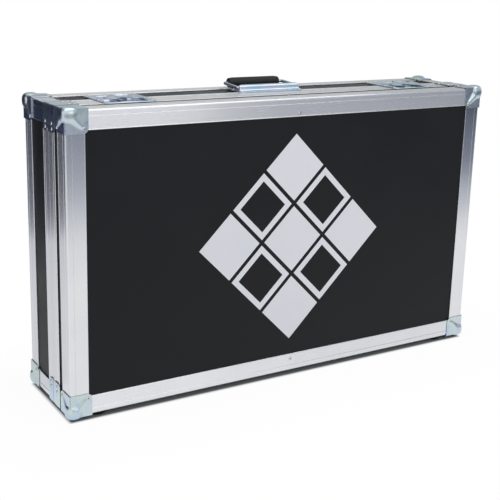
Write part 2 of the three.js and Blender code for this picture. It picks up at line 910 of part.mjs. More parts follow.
// The pressed plate with the long knuckle that holds both ends of the bail.
function handlePlate() {
  const outline = new THREE.Shape();
  const [x, y0, y1] = [handlePlateHalfLength, plateFront, plateFront + handlePlateWidth];
  const r = handlePlateRadius;
  outline.absarc(x - r, y0 + r, r, -Math.PI / 2, 0);
  outline.absarc(x - r, y1 - r, r, 0, Math.PI / 2);
  outline.absarc(r - x, y1 - r, r, Math.PI / 2, Math.PI);
  outline.absarc(r - x, y0 + r, r, Math.PI, Math.PI * 1.5);
  const flange = raised(outline, plateBottom, plateBottom + handlePlateThickness);
  const lean = Math.atan2(knuckleRise, knuckleFoot);
  const section = [
    [-knuckleFoot, 0],
    [knuckleFoot, 0],
    ...arcPoints(0, knuckleRise, knuckleRadius, lean, Math.PI - lean, edgeSteps * 2),
  ];
  const knuckle = new THREE.ExtrudeGeometry(
    new THREE.Shape(section.map(([y, z]) => new THREE.Vector2(y, z))),
    { depth: 2 * knuckleHalfLength, bevelEnabled: false },
  );
  knuckle.translate(0, 0, -knuckleHalfLength);
  const ridge = setAt(
    solidOf(knuckle),
    [0, bailPivotY, plateBottom],
    [0, 1, 0],
    [0, 0, 1],
    [1, 0, 0],
  );
  const bore = barAlongX(
    bailWireRadius + fitGap,
    -knuckleHalfLength - cutOverrun,
    knuckleHalfLength + cutOverrun,
    bailPivotY,
    bailPivotZ,
    smallSides,
  );
  return flange.add(ridge).subtract(bore);
}

// The bail's wire in its own plane: in from one knuckle end, round the grip and back to the other.
function bailPath() {
  const path = new THREE.CurvePath();
  const [x, y, r] = [bailHalfWidth, bailReach, bailBendRadius];
  const hold = knuckleHalfLength - bailEndLength;
  const corners = [
    [-hold, 0],
    [-x, 0],
    [-x, y],
    [x, y],
    [x, 0],
    [hold, 0],
  ].map(([px, py]) => new THREE.Vector3(px, py, 0));
  let from = corners[0];
  for (let i = 1; i < corners.length - 1; i++) {
    const before = corners[i - 1].clone().sub(corners[i]).setLength(r).add(corners[i]);
    const after = corners[i + 1].clone().sub(corners[i]).setLength(r).add(corners[i]);
    const controls = [before, after].map((p) => p.clone().lerp(corners[i], arcHandleShare));
    path.add(new THREE.LineCurve3(from, before));
    path.add(new THREE.CubicBezierCurve3(before, controls[0], controls[1], after));
    from = after;
  }
  path.add(new THREE.LineCurve3(from, corners[corners.length - 1]));
  return path;
}

function addHandle() {
  addPiece(baseHalf, "handle_plate", handlePlate(), zinc);
  const wire = new THREE.Shape();
  wire.absarc(0, 0, bailWireRadius, 0, Math.PI * 2);
  const bail = new THREE.ExtrudeGeometry(wire, {
    steps: bailSteps,
    curveSegments: wireSegments,
    bevelEnabled: false,
    extrudePath: bailPath(),
  });
  const grip = turned(
    [
      [bailWireRadius + fitGap, -gripHalfLength],
      [gripEndRadius - gripEdgeRadius, -gripHalfLength],
      ...arcPoints(
        gripEndRadius - gripEdgeRadius,
        gripEdgeRadius - gripHalfLength,
        gripEdgeRadius,
        -Math.PI / 2,
        0,
        edgeSteps,
      ),
      [gripRadius, -gripHalfLength / 2],
      [gripRadius, gripHalfLength / 2],
      ...arcPoints(
        gripEndRadius - gripEdgeRadius,
        gripHalfLength - gripEdgeRadius,
        gripEdgeRadius,
        0,
        Math.PI / 2,
        edgeSteps,
      ),
      [bailWireRadius + fitGap, gripHalfLength],
      [bailWireRadius + fitGap, -gripHalfLength],
    ],
    roundSides,
  );
  const tilt = [
    [1, 0, 0],
    [0, Math.cos(bailTilt), Math.sin(bailTilt)],
    [0, -Math.sin(bailTilt), Math.cos(bailTilt)],
  ];
  const pivot = [0, bailPivotY, bailPivotZ];
  addPiece(baseHalf, "handle_bail", setAt(solidOf(bail), pivot, ...tilt), zinc);
  const along = setAt(grip, [0, bailReach, 0], [0, 1, 0], [0, 0, 1], [1, 0, 0]);
  addPiece(baseHalf, "handle_grip", setAt(along, pivot, ...tilt), blackRubber);
}

// One leaf of a hinge under the bottom seam, with the knuckles whose orders are given.
function hingeLeaf(way, knuckles) {
  const axisZ = bottom - fitGap - hingeKnuckleRadius;
  const leafTop = bottom - fitGap;
  const near = hingeKnuckleRadius + fitGap;
  const pitch = (2 * hingeHalfLength) / hingeKnuckleCount;
  let solid = block(
    -hingeHalfLength,
    hingeHalfLength,
    seam + way * near,
    seam + way * (near + hingeLeafWidth),
    leafTop - hingeLeafThickness,
    leafTop,
  );
  for (const order of knuckles) {
    const x0 = -hingeHalfLength + order * pitch + fitGap / 2;
    const x1 = x0 + pitch - fitGap;
    const knuckle = barAlongX(hingeKnuckleRadius, x0, x1, seam, axisZ, smallSides);
    const tieBottom = leafTop - hingeLeafThickness;
    const tie = block(x0, x1, seam, seam + way * (near + fitGap), tieBottom, leafTop);
    solid = solid.add(tie).add(knuckle);
  }
  return { solid, axisZ };
}

function addHinges() {
  const orders = Array.from({ length: hingeKnuckleCount }, (_, order) => order);
  const outer = orders.filter((order) => order % 2 === 0);
  const between = orders.filter((order) => order % 2 === 1);
  const { solid: baseLeaf, axisZ } = hingeLeaf(1, outer);
  const { solid: lidLeaf } = hingeLeaf(-1, between);
  const reach = hingeHalfLength - fitGap;
  const pin = barAlongX(knucklePinRadius, -reach, reach, seam, axisZ, smallSides);
  const far = hingeHalfLength + cutOverrun;
  const bore = barAlongX(knucklePinRadius + fitGap, -far, far, seam, axisZ, smallSides);
  for (const [side, x] of [
    ["left", -hingeX],
    ["right", hingeX],
  ]) {
    addPiece(baseHalf, `${side}_hinge_base_leaf`, baseLeaf.add(pin).translate([x, 0, 0]), zinc);
    addPiece(lidHalf, `${side}_hinge_lid_leaf`, lidLeaf.subtract(bore).translate([x, 0, 0]), zinc);
  }
}

const lidSideEnd = seam - tongueReach - tongueTipClearance - closureWeb - fitGap;
const baseSideEnd = seam + seamGap / 2 + closureWeb + fitGap;
addBoards(lidHalf, "lid", "front", front, 1, lidSideEnd);
addBoards(baseHalf, "base", "rear", rear, -1, baseSideEnd);
addEdgeAngles(lidHalf, "lid", front, 1, lidDepth - closureWidth - fitGap);
addEdgeAngles(baseHalf, "base", rear, -1, caseDepth - lidDepth - seamGap / 2);
addClosures();
addBallCorners();
addFeet();
addFoam();
addLatches();
addHandle();
addHinges();

export default flightCase;
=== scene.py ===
import math

import bmesh
import bpy
from mathutils import Matrix, Vector


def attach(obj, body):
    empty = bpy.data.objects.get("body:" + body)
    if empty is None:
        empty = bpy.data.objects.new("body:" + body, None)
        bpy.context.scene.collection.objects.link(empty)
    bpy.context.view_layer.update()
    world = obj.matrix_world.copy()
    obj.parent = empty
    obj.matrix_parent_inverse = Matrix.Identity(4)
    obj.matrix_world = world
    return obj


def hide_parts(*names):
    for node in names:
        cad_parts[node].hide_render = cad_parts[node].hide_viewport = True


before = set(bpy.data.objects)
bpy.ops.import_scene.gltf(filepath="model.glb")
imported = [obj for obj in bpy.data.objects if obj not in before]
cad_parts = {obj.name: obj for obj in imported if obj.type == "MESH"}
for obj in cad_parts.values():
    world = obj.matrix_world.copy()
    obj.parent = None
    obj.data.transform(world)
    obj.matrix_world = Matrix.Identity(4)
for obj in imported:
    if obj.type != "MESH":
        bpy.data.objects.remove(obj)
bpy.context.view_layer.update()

scene = bpy.context.scene
mm = 0.001

# the case's own planes in mm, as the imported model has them
case = {"right": 388.5, "front": -83.0, "rear": 83.0, "bottom": 8.0, "top": 470.0, "seam": -18.5,
        "plate": 1.2, "angleLeg": 30.0, "fittingStand": 0.3}
corners = {
    "top_left": (-1, 1), "top_right": (1, 1),
    "bottom_left": (-1, -1), "bottom_right": (1, -1),
}
halves = {"lid": (case["front"], 1), "base": (case["rear"], -1)}  # outer face, and the way inwards


# camera, fitted to the case's straight edges

cameraFrom = {"place": (-0.8901, -1.3914, 0.6779), "heading": 32.478, "pitch": -14.546, "roll": 1.807,
              "focalPixels": 1004.43, "centre": (264.26, 221.07), "frame": 500, "sensor": 36}


def addCamera():
    heading, pitch, roll = (math.radians(cameraFrom[k]) for k in ("heading", "pitch", "roll"))
    forward = math.cos(pitch)
    ahead = Vector((math.sin(heading) * forward, math.cos(heading) * forward, math.sin(pitch)))
    level = ahead.cross(Vector((0, 0, 1))).normalized()
    upright = level.cross(ahead)
    side = level * math.cos(roll) + upright * math.sin(roll)
    above = upright * math.cos(roll) - level * math.sin(roll)
    pixels = cameraFrom["frame"]
    data = bpy.data.cameras.new("camera")
    data.sensor_width = cameraFrom["sensor"]
    data.lens = cameraFrom["sensor"] * cameraFrom["focalPixels"] / pixels
    data.shift_x = (pixels / 2 - cameraFrom["centre"][0]) / pixels
    data.shift_y = (cameraFrom["centre"][1] - pixels / 2) / pixels
    camera = bpy.data.objects.new("camera", data)
    rows = [(side[i], above[i], -ahead[i], cameraFrom["place"][i]) for i in range(3)]
    camera.matrix_world = Matrix((*rows, (0, 0, 0, 1)))
    scene.collection.objects.link(camera)
    scene.camera = camera


addCamera()
print("camera is set")


# materials; their lengths are in mm

def linear(code):
    parts = [int(code[i:i + 2], 16) / 255 for i in (1, 3, 5)]
    return [c / 12.92 if c <= 0.04045 else ((c + 0.055) / 1.055) ** 2.4 for c in parts] + [1]


# a socket gets a value, a link from another socket, or a link from a node's first output
def feed(tree, node, feeds):
    for socket, value in feeds.items():
        if isinstance(value, bpy.types.Node):
            value = value.outputs[0]
        if isinstance(value, bpy.types.NodeSocket):
            tree.links.new(value, node.inputs[socket])
        else:
            node.inputs[socket].default_value = value


def addNode(tree, kind, feeds, **settings):
    node = tree.nodes.new(kind)
    for name, value in settings.items():
        setattr(node, name, value)
    feed(tree, node, feeds)
    return node


def newMaterial(name):
    material = bpy.data.materials.new(name)
    material.use_nodes = True
    return material, material.node_tree, material.node_tree.nodes["Principled BSDF"]


# Extruded aluminium, satin anodised: the die leaves fine lines along the length, so highlights
# stretch across them. Real lines are about 0.1 mm apart and are drawn coarser here.
anodising = {"colour": "#e8e8ea", "drift": "#dddee2", "smoothest": 0.25, "roughest": 0.28, "stretch": 0.97,
             "lineSpacing": 0.9, "lineLength": 320, "cloud": 60, "relief": 0.005, "brokenEdge": 0.45}


def makeAnodisedAluminium():
    material, tree, shader = newMaterial("anodisedAluminium")
    grain = addNode(tree, "ShaderNodeAttribute", {}, attribute_name="grain").outputs["Vector"]
    across = 1 / (anodising["lineSpacing"] * mm)
    stretched = addNode(tree, "ShaderNodeVectorMath", {
        0: grain, 1: (1 / (anodising["lineLength"] * mm), across, across)}, operation="MULTIPLY")
    lines = addNode(tree, "ShaderNodeTexNoise", {
        "Vector": stretched, "Scale": 1.0, "Detail": 3.0, "Roughness": 0.6})
    clouds = addNode(tree, "ShaderNodeTexNoise", {
        "Vector": grain, "Scale": 1 / (anodising["cloud"] * mm), "Detail": 4.0, "Roughness": 0.55})
    tint = addNode(tree, "ShaderNodeMix", {
        0: clouds, 6: linear(anodising["colour"]), 7: linear(anodising["drift"])}, data_type="RGBA")
    both = addNode(tree, "ShaderNodeMath", {0: lines, 1: clouds}, operation="MULTIPLY")
    rough = addNode(tree, "ShaderNodeMapRange", {
        "Value": both, "From Min": 0.12, "From Max": 0.42,
        "To Min": anodising["smoothest"], "To Max": anodising["roughest"]})
    bump = addNode(tree, "ShaderNodeBump", {
        "Height": lines, "Strength": 0.3, "Distance": anodising["relief"] * mm})
    drawn = addNode(tree, "ShaderNodeAttribute", {}, attribute_name="drawn").outputs["Vector"]
    tangent = addNode(tree, "ShaderNodeVectorTransform", {
        0: drawn}, vector_type="VECTOR", convert_from="OBJECT", convert_to="WORLD")
    feed(tree, shader, {
        "Base Color": tint.outputs[2], "Roughness": rough, "Normal": bump, "Tangent": tangent,
        "Metallic": 1, "Anisotropic": anodising["stretch"], "Anisotropic Rotation": 0.25})
    return material


# Pressed mild steel, zinc plated and blue passivated: a thin clear film that drifts between
# pale green, blue and lilac, on a face that keeps the soft waves of the press tool.
plating = {"green": "#c9d8d5", "blue": "#b9cbdd", "lilac": "#cbcfe1", "patch": 34, "lilacPatch": 57.8,
           "spangle": 6, "smoothest": 0.25, "roughest": 0.35, "wave": 11, "relief": 0.05}


def makeZincPlate():
    material, tree, shader = newMaterial("bluePassivatedZinc")
    place = addNode(tree, "ShaderNodeTexCoord", {}).outputs["Object"]
    patches = addNode(tree, "ShaderNodeTexNoise", {
        "Vector": place, "Scale": 1 / (plating["patch"] * mm), "Detail": 2.0, "Distortion": 0.8})
    drift = addNode(tree, "ShaderNodeTexNoise", {
        "Vector": place, "Scale": 1 / (plating["lilacPatch"] * mm), "Detail": 3.0, "W": 4.0},
        noise_dimensions="4D")
    sharper = addNode(tree, "ShaderNodeMapRange", {"Value": patches, "From Min": 0.38, "From Max": 0.62})
    lilacShare = addNode(tree, "ShaderNodeMapRange", {"Value": drift, "From Min": 0.42, "From Max": 0.66})
    cool = addNode(tree, "ShaderNodeMix", {
        0: sharper, 6: linear(plating["green"]), 7: linear(plating["blue"])}, data_type="RGBA")
    film = addNode(tree, "ShaderNodeMix", {
        0: lilacShare, 6: cool.outputs[2], 7: linear(plating["lilac"])}, data_type="RGBA")
    spangle = addNode(tree, "ShaderNodeTexVoronoi", {
        "Vector": place, "Scale": 1 / (plating["spangle"] * mm)}, feature="SMOOTH_F1")
    rough = addNode(tree, "ShaderNodeMapRange", {
        "Value": spangle, "From Min": 0.0, "From Max": 0.8,
        "To Min": plating["smoothest"], "To Max": plating["roughest"]})
    waves = addNode(tree, "ShaderNodeTexNoise", {
        "Vector": place, "Scale": 1 / (plating["wave"] * mm), "Detail": 2.0})
    bump = addNode(tree, "ShaderNodeBump", {
        "Height": waves, "Strength": 0.6, "Distance": plating["relief"] * mm})
    feed(tree, shader, {"Base Color": film.outputs[2], "Roughness": rough, "Normal": bump, "Metallic": 1})
    return material


# Black phenolic laminate on birch plywood, pressed between textured plates: a fine pebble that
# breaks the gloss into a soft satin. The screen print lies on it and keeps its pebble.
laminate = {"colour": "#191a1d", "drift": "#202124", "smoothest": 0.36, "roughest": 0.5}
printing = {"colour": "#dfe1e7", "drift": "#d6d9df", "smoothest": 0.5, "roughest": 0.5}
pebbling = {"pebble": 1.5, "cloud": 120, "relief": 0.12, "gloss": 0.14}


def makePebbled(name, skin):
    material, tree, shader = newMaterial(name)
    place = addNode(tree, "ShaderNodeTexCoord", {}).outputs["Object"]
    pebble = addNode(tree, "ShaderNodeTexVoronoi", {
        "Vector": place, "Scale": 1 / (pebbling["pebble"] * mm)}, feature="SMOOTH_F1")
    cloud = addNode(tree, "ShaderNodeTexNoise", {
        "Vector": place, "Scale": 1 / (pebbling["cloud"] * mm), "Detail": 6.0, "Roughness": 0.65})
    tint = addNode(tree, "ShaderNodeMix", {
        0: cloud, 6: linear(skin["colour"]), 7: linear(skin["drift"])}, data_type="RGBA")
    rough = addNode(tree, "ShaderNodeMapRange", {
        "Value": cloud, "From Min": 0.3, "From Max": 0.7,
        "To Min": skin["smoothest"], "To Max": skin["roughest"]})
    bump = addNode(tree, "ShaderNodeBump", {
        "Height": pebble, "Strength": 0.5, "Distance": pebbling["relief"] * mm})
    feed(tree, shader, {
        "Base Color": tint.outputs[2], "Roughness": rough, "Normal": bump,
        "Specular IOR Level": pebbling["gloss"]})
    return material


# Moulded rubber, as it leaves a spark-eroded mould: a dull even skin with a slight bloom.
rubber = {"colour": "#131416", "drift": "#1f2023", "grain": 0.7, "relief": 0.05, "roughness": 0.5,
          "gloss": 0.3}
# Closed-cell foam, cut from a block: open cells on every cut face take the light away.
foam = {"colour": "#1c1d1f", "drift": "#35363a", "grain": 1.6, "relief": 0.5, "roughness": 0.95,
        "gloss": 0.2}
# Painted shade for the screws' drives and the rivets' holes: near black, as little light gets in there.
recess = {"colour": "#1a1a1c", "drift": "#2b2b2e", "grain": 0.8, "relief": 0.02, "roughness": 0.6,
          "gloss": 0.5}
blotchPerGrain = 22


def makeGrained(name, skin):
    material, tree, shader = newMaterial(name)
    place = addNode(tree, "ShaderNodeTexCoord", {}).outputs["Object"]
    cells = addNode(tree, "ShaderNodeTexVoronoi", {"Vector": place, "Scale": 1 / (skin["grain"] * mm)})
    blotch = addNode(tree, "ShaderNodeTexNoise", {
        "Vector": place, "Scale": 1 / (blotchPerGrain * skin["grain"] * mm), "Detail": 5.0})
    tint = addNode(tree, "ShaderNodeMix", {
        0: blotch, 6: linear(skin["colour"]), 7: linear(skin["drift"])}, data_type="RGBA")
    bump = addNode(tree, "ShaderNodeBump", {
        "Height": cells, "Strength": 0.6, "Distance": skin["relief"] * mm})
    feed(tree, shader, {
        "Base Color": tint.outputs[2], "Normal": bump, "Roughness": skin["roughness"],
        "Specular IOR Level": skin["gloss"]})
    return material


# Nickel plated rivets: brighter than the zinc, with fine handling marks.
nickel = {"colour": "#d9d9d6", "drift": "#b9bcc0", "marksPerMetre": 900.0, "roughness": 0.2}


def makeNickel():
    material, tree, shader = newMaterial("nickelPlatedSteel")
    place = addNode(tree, "ShaderNodeTexCoord", {}).outputs["Object"]
    marks = addNode(tree, "ShaderNodeTexNoise", {
        "Vector": place, "Scale": nickel["marksPerMetre"], "Detail": 2.0})
    tint = addNode(tree, "ShaderNodeMix", {
        0: marks, 6: linear(nickel["colour"]), 7: linear(nickel["drift"])}, data_type="RGBA")
    feed(tree, shader, {"Base Color": tint.outputs[2], "Metallic": 1, "Roughness": nickel["roughness"]})
    return material


anodisedAluminium = makeAnodisedAluminium()
zincPlate = makeZincPlate()
blackLaminate = makePebbled("blackPhenolicLaminate", laminate)
whitePrint = makePebbled("whiteScreenPrint", printing)
blackRubber = makeGrained("mouldedRubber", rubber)
greyFoam = makeGrained("closedCellFoam", foam)
nickelPlate = makeNickel()
paintedDriveShade = makeGrained("paintedShadeInDrives", recess)
print("materials are made")


# mesh tools; a shape is (points, faces) in mm until it becomes a piece

alongX = ((0, 1, 0), (0, 0, 1), (1, 0, 0))  # lays a turned or stamped shape's own axis along x
meshing = {"mergeWithin": 0.02, "mergeCadWithin": 0.01, "flatWithin": 1, "sharpFrom": 38,
           "edgingSharpFrom": 40}  # lengths in mm, angles in degrees


def joined(*shapes):
    points, faces = [], []
    for shapePoints, shapeFaces in shapes:
        start = len(points)
        points += [tuple(p) for p in shapePoints]
        faces += [tuple(start + i for i in face) for face in shapeFaces]
    return points, faces


def placed(shape, origin, u, v, w):
    turn = Matrix((u, v, w)).transposed()
    points = [tuple(Vector(origin) + turn @ Vector(p)) for p in shape[0]]
    return turnedOver((points, shape[1])) if turn.determinant() < 0 else (points, shape[1])


def moved(shape, x=0.0, y=0.0):
    return [(p[0] + x, p[1] + y, p[2]) for p in shape[0]], shape[1]


def turnedOver(shape):
    return shape[0], [tuple(reversed(face)) for face in shape[1]]


def grid(rows, columns, point, wrap=False):
    points = [point(i, j) for i in range(rows) for j in range(columns)]
    faces = []
    for i in range(rows - 1):
        for j in range(columns if wrap else columns - 1):
            k = (j + 1) % columns
            faces.append((i * columns + j, (i + 1) * columns + j, (i + 1) * columns + k, i * columns + k))
    return points, faces


pole = 0.01  # a turned profile ends this near its axis, and the ring there is merged to a point


def lathe(profile, sides=48):
    def point(i, j):
        radius, height = profile[i]
        t = 2 * math.pi * j / sides
        return (radius * math.cos(t), radius * math.sin(t), height)
    return grid(len(profile), sides, point, wrap=True)


def tube(path, radius, sides=16):
    count = len(path)
    ahead = [(path[min(i + 1, count - 1)] - path[max(i - 1, 0)]).normalized() for i in range(count)]
    normal = ahead[0].orthogonal().normalized()
    frames = []
    for a in ahead:
        normal = (normal - a * normal.dot(a)).normalized()
        frames.append((normal, a.cross(normal)))

    def point(i, j):
        t = 2 * math.pi * j / sides
        n, b = frames[i]
        return tuple(path[i] + radius * (n * math.cos(t) + b * math.sin(t)))
    points, faces = grid(count, sides, point, wrap=True)
    faces.append(tuple(reversed(range(sides))))
    faces.append(tuple((count - 1) * sides + j for j in range(sides)))
    return points, faces


def rodAlongX(stops, y, z, radius, sides=14):
    return tube([Vector((x, y, z)) for x in stops], radius, sides)


def roundedBox(low, high, radius, segments=3):
    bm = bmesh.new()
    bmesh.ops.create_cube(bm, size=1)
    for v in bm.verts:
        v.co = [(low[i] + high[i]) / 2 + v.co[i] * (high[i] - low[i]) for i in range(3)]
    bmesh.ops.bevel(bm, geom=bm.edges[:], offset=radius, segments=segments, profile=0.5, affect="EDGES")
    shape = [tuple(v.co) for v in bm.verts], [tuple(v.index for v in f.verts) for f in bm.faces]
    bm.free()
    return shape


def arc(x, y, radius, start, end, steps):
    angles = [math.radians(start + (end - start) * i / steps) for i in range(steps + 1)]
    return [(x + radius * math.cos(a), y + radius * math.sin(a)) for a in angles]


def roundedRectangle(x0, x1, y0, y1, radius, steps):
    left, right, low, high = x0 + radius, x1 - radius, y0 + radius, y1 - radius
    outline = []
    for quarter, (x, y) in enumerate(((right, low), (right, high), (left, high), (left, low))):
        outline += arc(x, y, radius, 90 * quarter - 90, 90 * quarter, steps)
    return outline


# a flat stamped plate with holes, its edges rounded over by the press
def stamped(outlines, low, high, edge):
    curve = bpy.data.curves.new("stamping", "CURVE")
    curve.dimensions = "2D"
    curve.fill_mode = "BOTH"
    curve.extrude = (high - low) / 2 - edge
    curve.bevel_depth = edge
    curve.bevel_resolution = 1
    curve.offset = -edge
    for outline in outlines:
        spline = curve.splines.new("POLY")
        spline.points.add(len(outline) - 1)
        for place, (x, y) in zip(spline.points, outline):
            place.co = (x, y, 0, 1)
        spline.use_cyclic_u = True
    holder = bpy.data.objects.new("stamping", curve)
    scene.collection.objects.link(holder)
    mesh = bpy.data.meshes.new_from_object(holder.evaluated_get(bpy.context.evaluated_depsgraph_get()))
    middle = (low + high) / 2
    points = [(v.co.x, v.co.y, v.co.z + middle) for v in mesh.vertices]
    faces = [tuple(f.vertices) for f in mesh.polygons]
    bpy.data.objects.remove(holder)
    bpy.data.curves.remove(curve)
    bpy.data.meshes.remove(mesh)
    return points, faces


def shareOf(low, high, value):
    return min(max((value - low) / (high - low), 0), 1)


def easeStep(low, high, value):
    t = shareOf(low, high, value)
    return t * t * (3 - 2 * t)


def bell(q):  # 1 at 0, and 0 from 1 on
    return 0.5 + 0.5 * math.cos(math.pi * min(q, 1))


def smoothMax(a, b, k):
    h = max(k - abs(a - b), 0) / k
    return max(a, b) + h * h * k / 4


def plain(piece):
    mesh = bpy.data.meshes.new_from_object(piece.evaluated_get(bpy.context.evaluated_depsgraph_get()))
    old = piece.data
    piece.modifiers.clear()
    piece.data = mesh
    bpy.data.meshes.remove(old)


def finish(piece, material, sharp):
    piece.data.materials.clear()
    piece.data.materials.append(material)
    piece.data.polygons.foreach_set("use_smooth", [True] * len(piece.data.polygons))
    piece.data.set_sharp_from_angle(angle=math.radians(sharp))


# A sheet keeps its own facing and gets its wall on the inner side; a closed shape faces outwards.
def addPiece(name, shape, material, body, stands=(), wall=0.0, sharp=meshing["sharpFrom"]):
    mesh = bpy.data.meshes.new(name)
    mesh.from_pydata([[c * mm for c in p] for p in shape[0]], [], shape[1])
    bm = bmesh.new()
    bm.from_mesh(mesh)
    bmesh.ops.remove_doubles(bm, verts=bm.verts, dist=meshing["mergeWithin"] * mm)
    if not wall:
        bmesh.ops.recalc_face_normals(bm, faces=bm.faces)
    bm.to_mesh(mesh)
    bm.free()
    piece = bpy.data.objects.new(name, mesh)
    scene.collection.objects.link(piece)
    if wall:
        solidify = piece.modifiers.new("wall", "SOLIDIFY")
        solidify.thickness = wall * mm
        solidify.offset = -1
        solidify.use_even_offset = True
        plain(piece)
    finish(piece, material, sharp)
    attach(piece, body)
    if stands:
        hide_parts(*stands)
    return piece


# boards and edging

for name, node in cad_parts.items():
    if name.endswith("_panel"):
        node.data.materials.clear()
        node.data.materials.append(blackLaminate)
print("boards are dressed")


# Which way the metal was drawn, per face: the first coordinate of grain runs along the bar.
def drawnAlong(piece, wayOf):
    piece.data.attributes.new("grain", "FLOAT_VECTOR", "CORNER")
    piece.data.attributes.new("drawn", "FLOAT_VECTOR", "CORNER")
    grain, drawn = piece.data.attributes["grain"], piece.data.attributes["drawn"]
    for face in piece.data.polygons:
        order = {"x": (0, 1, 2), "y": (1, 0, 2), "z": (2, 0, 1)}[wayOf(face.center / mm)]
        for loop in face.loop_indices:
            co = piece.data.vertices[piece.data.loops[loop].vertex_index].co
            grain.data[loop].vector = [co[i] for i in order]
            drawn.data[loop].vector = [float(i == order[0]) for i in range(3)]


def extrusionFrom(node, wayOf):
    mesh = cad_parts[node].data.copy()
    bm = bmesh.new()
    bm.from_mesh(mesh)
    bmesh.ops.remove_doubles(bm, verts=bm.verts, dist=meshing["mergeCadWithin"] * mm)
    level = math.radians(meshing["flatWithin"])
    bmesh.ops.dissolve_limit(bm, angle_limit=level, verts=bm.verts, edges=bm.edges)
    bm.to_mesh(mesh)
    bm.free()
    piece = bpy.data.objects.new(node.replace("_angle", "_extrusion").replace("_frame", "_extrusion"), mesh)
    scene.collection.objects.link(piece)
    sharp = meshing["edgingSharpFrom"]
    finish(piece, anodisedAluminium, sharp)
    edges = piece.modifiers.new("brokenEdges", "BEVEL")
    edges.width = anodising["brokenEdge"] * mm
    edges.segments = 2
    edges.limit_method = "ANGLE"
    edges.angle_limit = math.radians(sharp)
    edges.harden_normals = True
    flatten = piece.modifiers.new("flatFaces", "WEIGHTED_NORMAL")
    flatten.keep_sharp = True
    flatten.weight = 100
    plain(piece)
    drawnAlong(piece, wayOf)
    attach(piece, node.split("_")[0])
    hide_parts(node)


def closureWay(centre):
    fromSide = case["right"] - abs(centre.x)
    fromEnd = min(centre.z - case["bottom"], case["top"] - centre.z)
    return "z" if fromSide < fromEnd else "x"


# The free edge of every flange ends in a small round lip, which stops at the latches' dishes.
lips = {"radius": 0.85, "stand": 0.4, "sides": 12, "closureWidth": 22.5, "dishX": 270.0, "dishHalf": 44.0}


def addLips(half):
    outer, inward = halves[half]
    fromEdge = case["angleLeg"] - lips["radius"]
    sink = lips["stand"] - lips["radius"]
    right, low, high = case["right"] - fromEdge, case["bottom"] + fromEdge, case["top"] - fromEdge
    back = outer + inward * fromEdge
    seam = case["seam"] - inward * (lips["closureWidth"] - lips["radius"])
    near, far = lips["dishX"] - lips["dishHalf"], lips["dishX"] + lips["dishHalf"]
    face = outer - inward * sink
    rods = {"x": [], "y": [], "z": []}
    for z in (low, high):
        rods["x"].append(((-right, face, z), (right, face, z)))
    for x in (-right, right):
        rods["z"].append(((x, face, low), (x, face, high)))
        out = math.copysign(case["right"] + sink, x)
        for y in (back, seam):
            rods["z"].append(((out, y, low), (out, y, high)))
        for z in (low, high):
            rods["y"].append(((out, back, z), (out, seam, z)))
    for z in (case["bottom"] - sink, case["top"] + sink):
        for x in (-right, right):
            rods["y"].append(((x, back, z), (x, seam, z)))
        if abs(seam - back) < case["angleLeg"]:
            continue  # beside the lid's narrow strip of board the lips lie flush
        rods["x"].append(((-right, back, z), (right, back, z)))
        stops = (-right, -far, -near, near, far, right) if z > low else (-right, right)
        for x0, x1 in zip(stops[::2], stops[1::2]):
            rods["x"].append(((x0, seam, z), (x1, seam, z)))
    for way, ends in rods.items():
        shape = joined(*[tube([Vector(a), Vector(b)], lips["radius"], lips["sides"]) for a, b in ends])
        piece = addPiece(f"{half}_lips_along_{way}", shape, anodisedAluminium, half, sharp=50)
        drawnAlong(piece, lambda centre: way)


for half in halves:
    addLips(half)
    for side, way in (("top", "x"), ("bottom", "x"), ("left", "z"), ("right", "z")):
        extrusionFrom(f"{half}_{side}_angle", lambda centre: way)
    for corner in corners:
        extrusionFrom(f"{half}_{corner}_edge_angle", lambda centre: "y")
    extrusionFrom(f"{half}_closure_frame", closureWay)
print("edging is dressed")


# what the corners, braces, latches, handle and hinges share

rivets = {"base": [], "lid": []}  # (place, facing) of every rivet on each half
up, down = (0, 0, 1), (0, 0, -1)


def addRivet(half, spot, facing, origin=(0, 0, 0), axes=((1, 0, 0), (0, 1, 0), (0, 0, 1))):
    turn = Matrix(axes).transposed()
    rivets[half].append((Vector(origin) + turn @ Vector(spot), turn @ Vector(facing)))


# where a corner's fitting starts, with its axes towards the case's middle
def cornerAxes(corner, y, wayY):
    sideX, sideZ = corners[corner]
    origin = (sideX * case["right"], y, case["top"] if sideZ > 0 else case["bottom"])
    return origin, ((-sideX, 0, 0), (0, wayY, 0), (0, 0, -sideZ))


# ball corners, pressed from one sheet

ballCorner = {"leg": 34.5, "face": -1.5, "edge": 4.5, "bendSteps": 5, "steps": 26,
              "ballInset": 7.5, "ballReach": 12.45, "ballFullness": 2.8,
              "tipRadius": 8.0, "rivetInset": 7.0, "rivetStand": 0.1,
              "ridgeFrom": 9.0, "ridgeTo": 26.5, "ridgeHigh": 3.4, "ridgeLow": 0.9, "ridgeWide": 10.0,
              "ridgeNarrow": 4.0, "ridgeCrown": 0.8, "ridgeRise": (6, 10), "ridgeEnd": (25, 29)}


def ballSurface(direction):
    # a ball that is a little fuller between its sides, so that they stay inside the CAD's box
    power = ballCorner["ballFullness"]
    return ballCorner["ballReach"] / sum(abs(q) ** power for q in direction) ** (1 / power)


# a ridge runs from the ball to the rivet and tapers on the way
def ridgeHeight(along, across):
    size = ballCorner
    share = shareOf(size["ridgeFrom"], size["ridgeTo"], along)
    width = size["ridgeWide"] + (size["ridgeNarrow"] - size["ridgeWide"]) * share
    height = size["ridgeHigh"] + (size["ridgeLow"] - size["ridgeHigh"]) * share
    height *= bell(across / width) ** size["ridgeCrown"]
    return height * (easeStep(*size["ridgeRise"], along) * (1 - easeStep(*size["ridgeEnd"], along)))


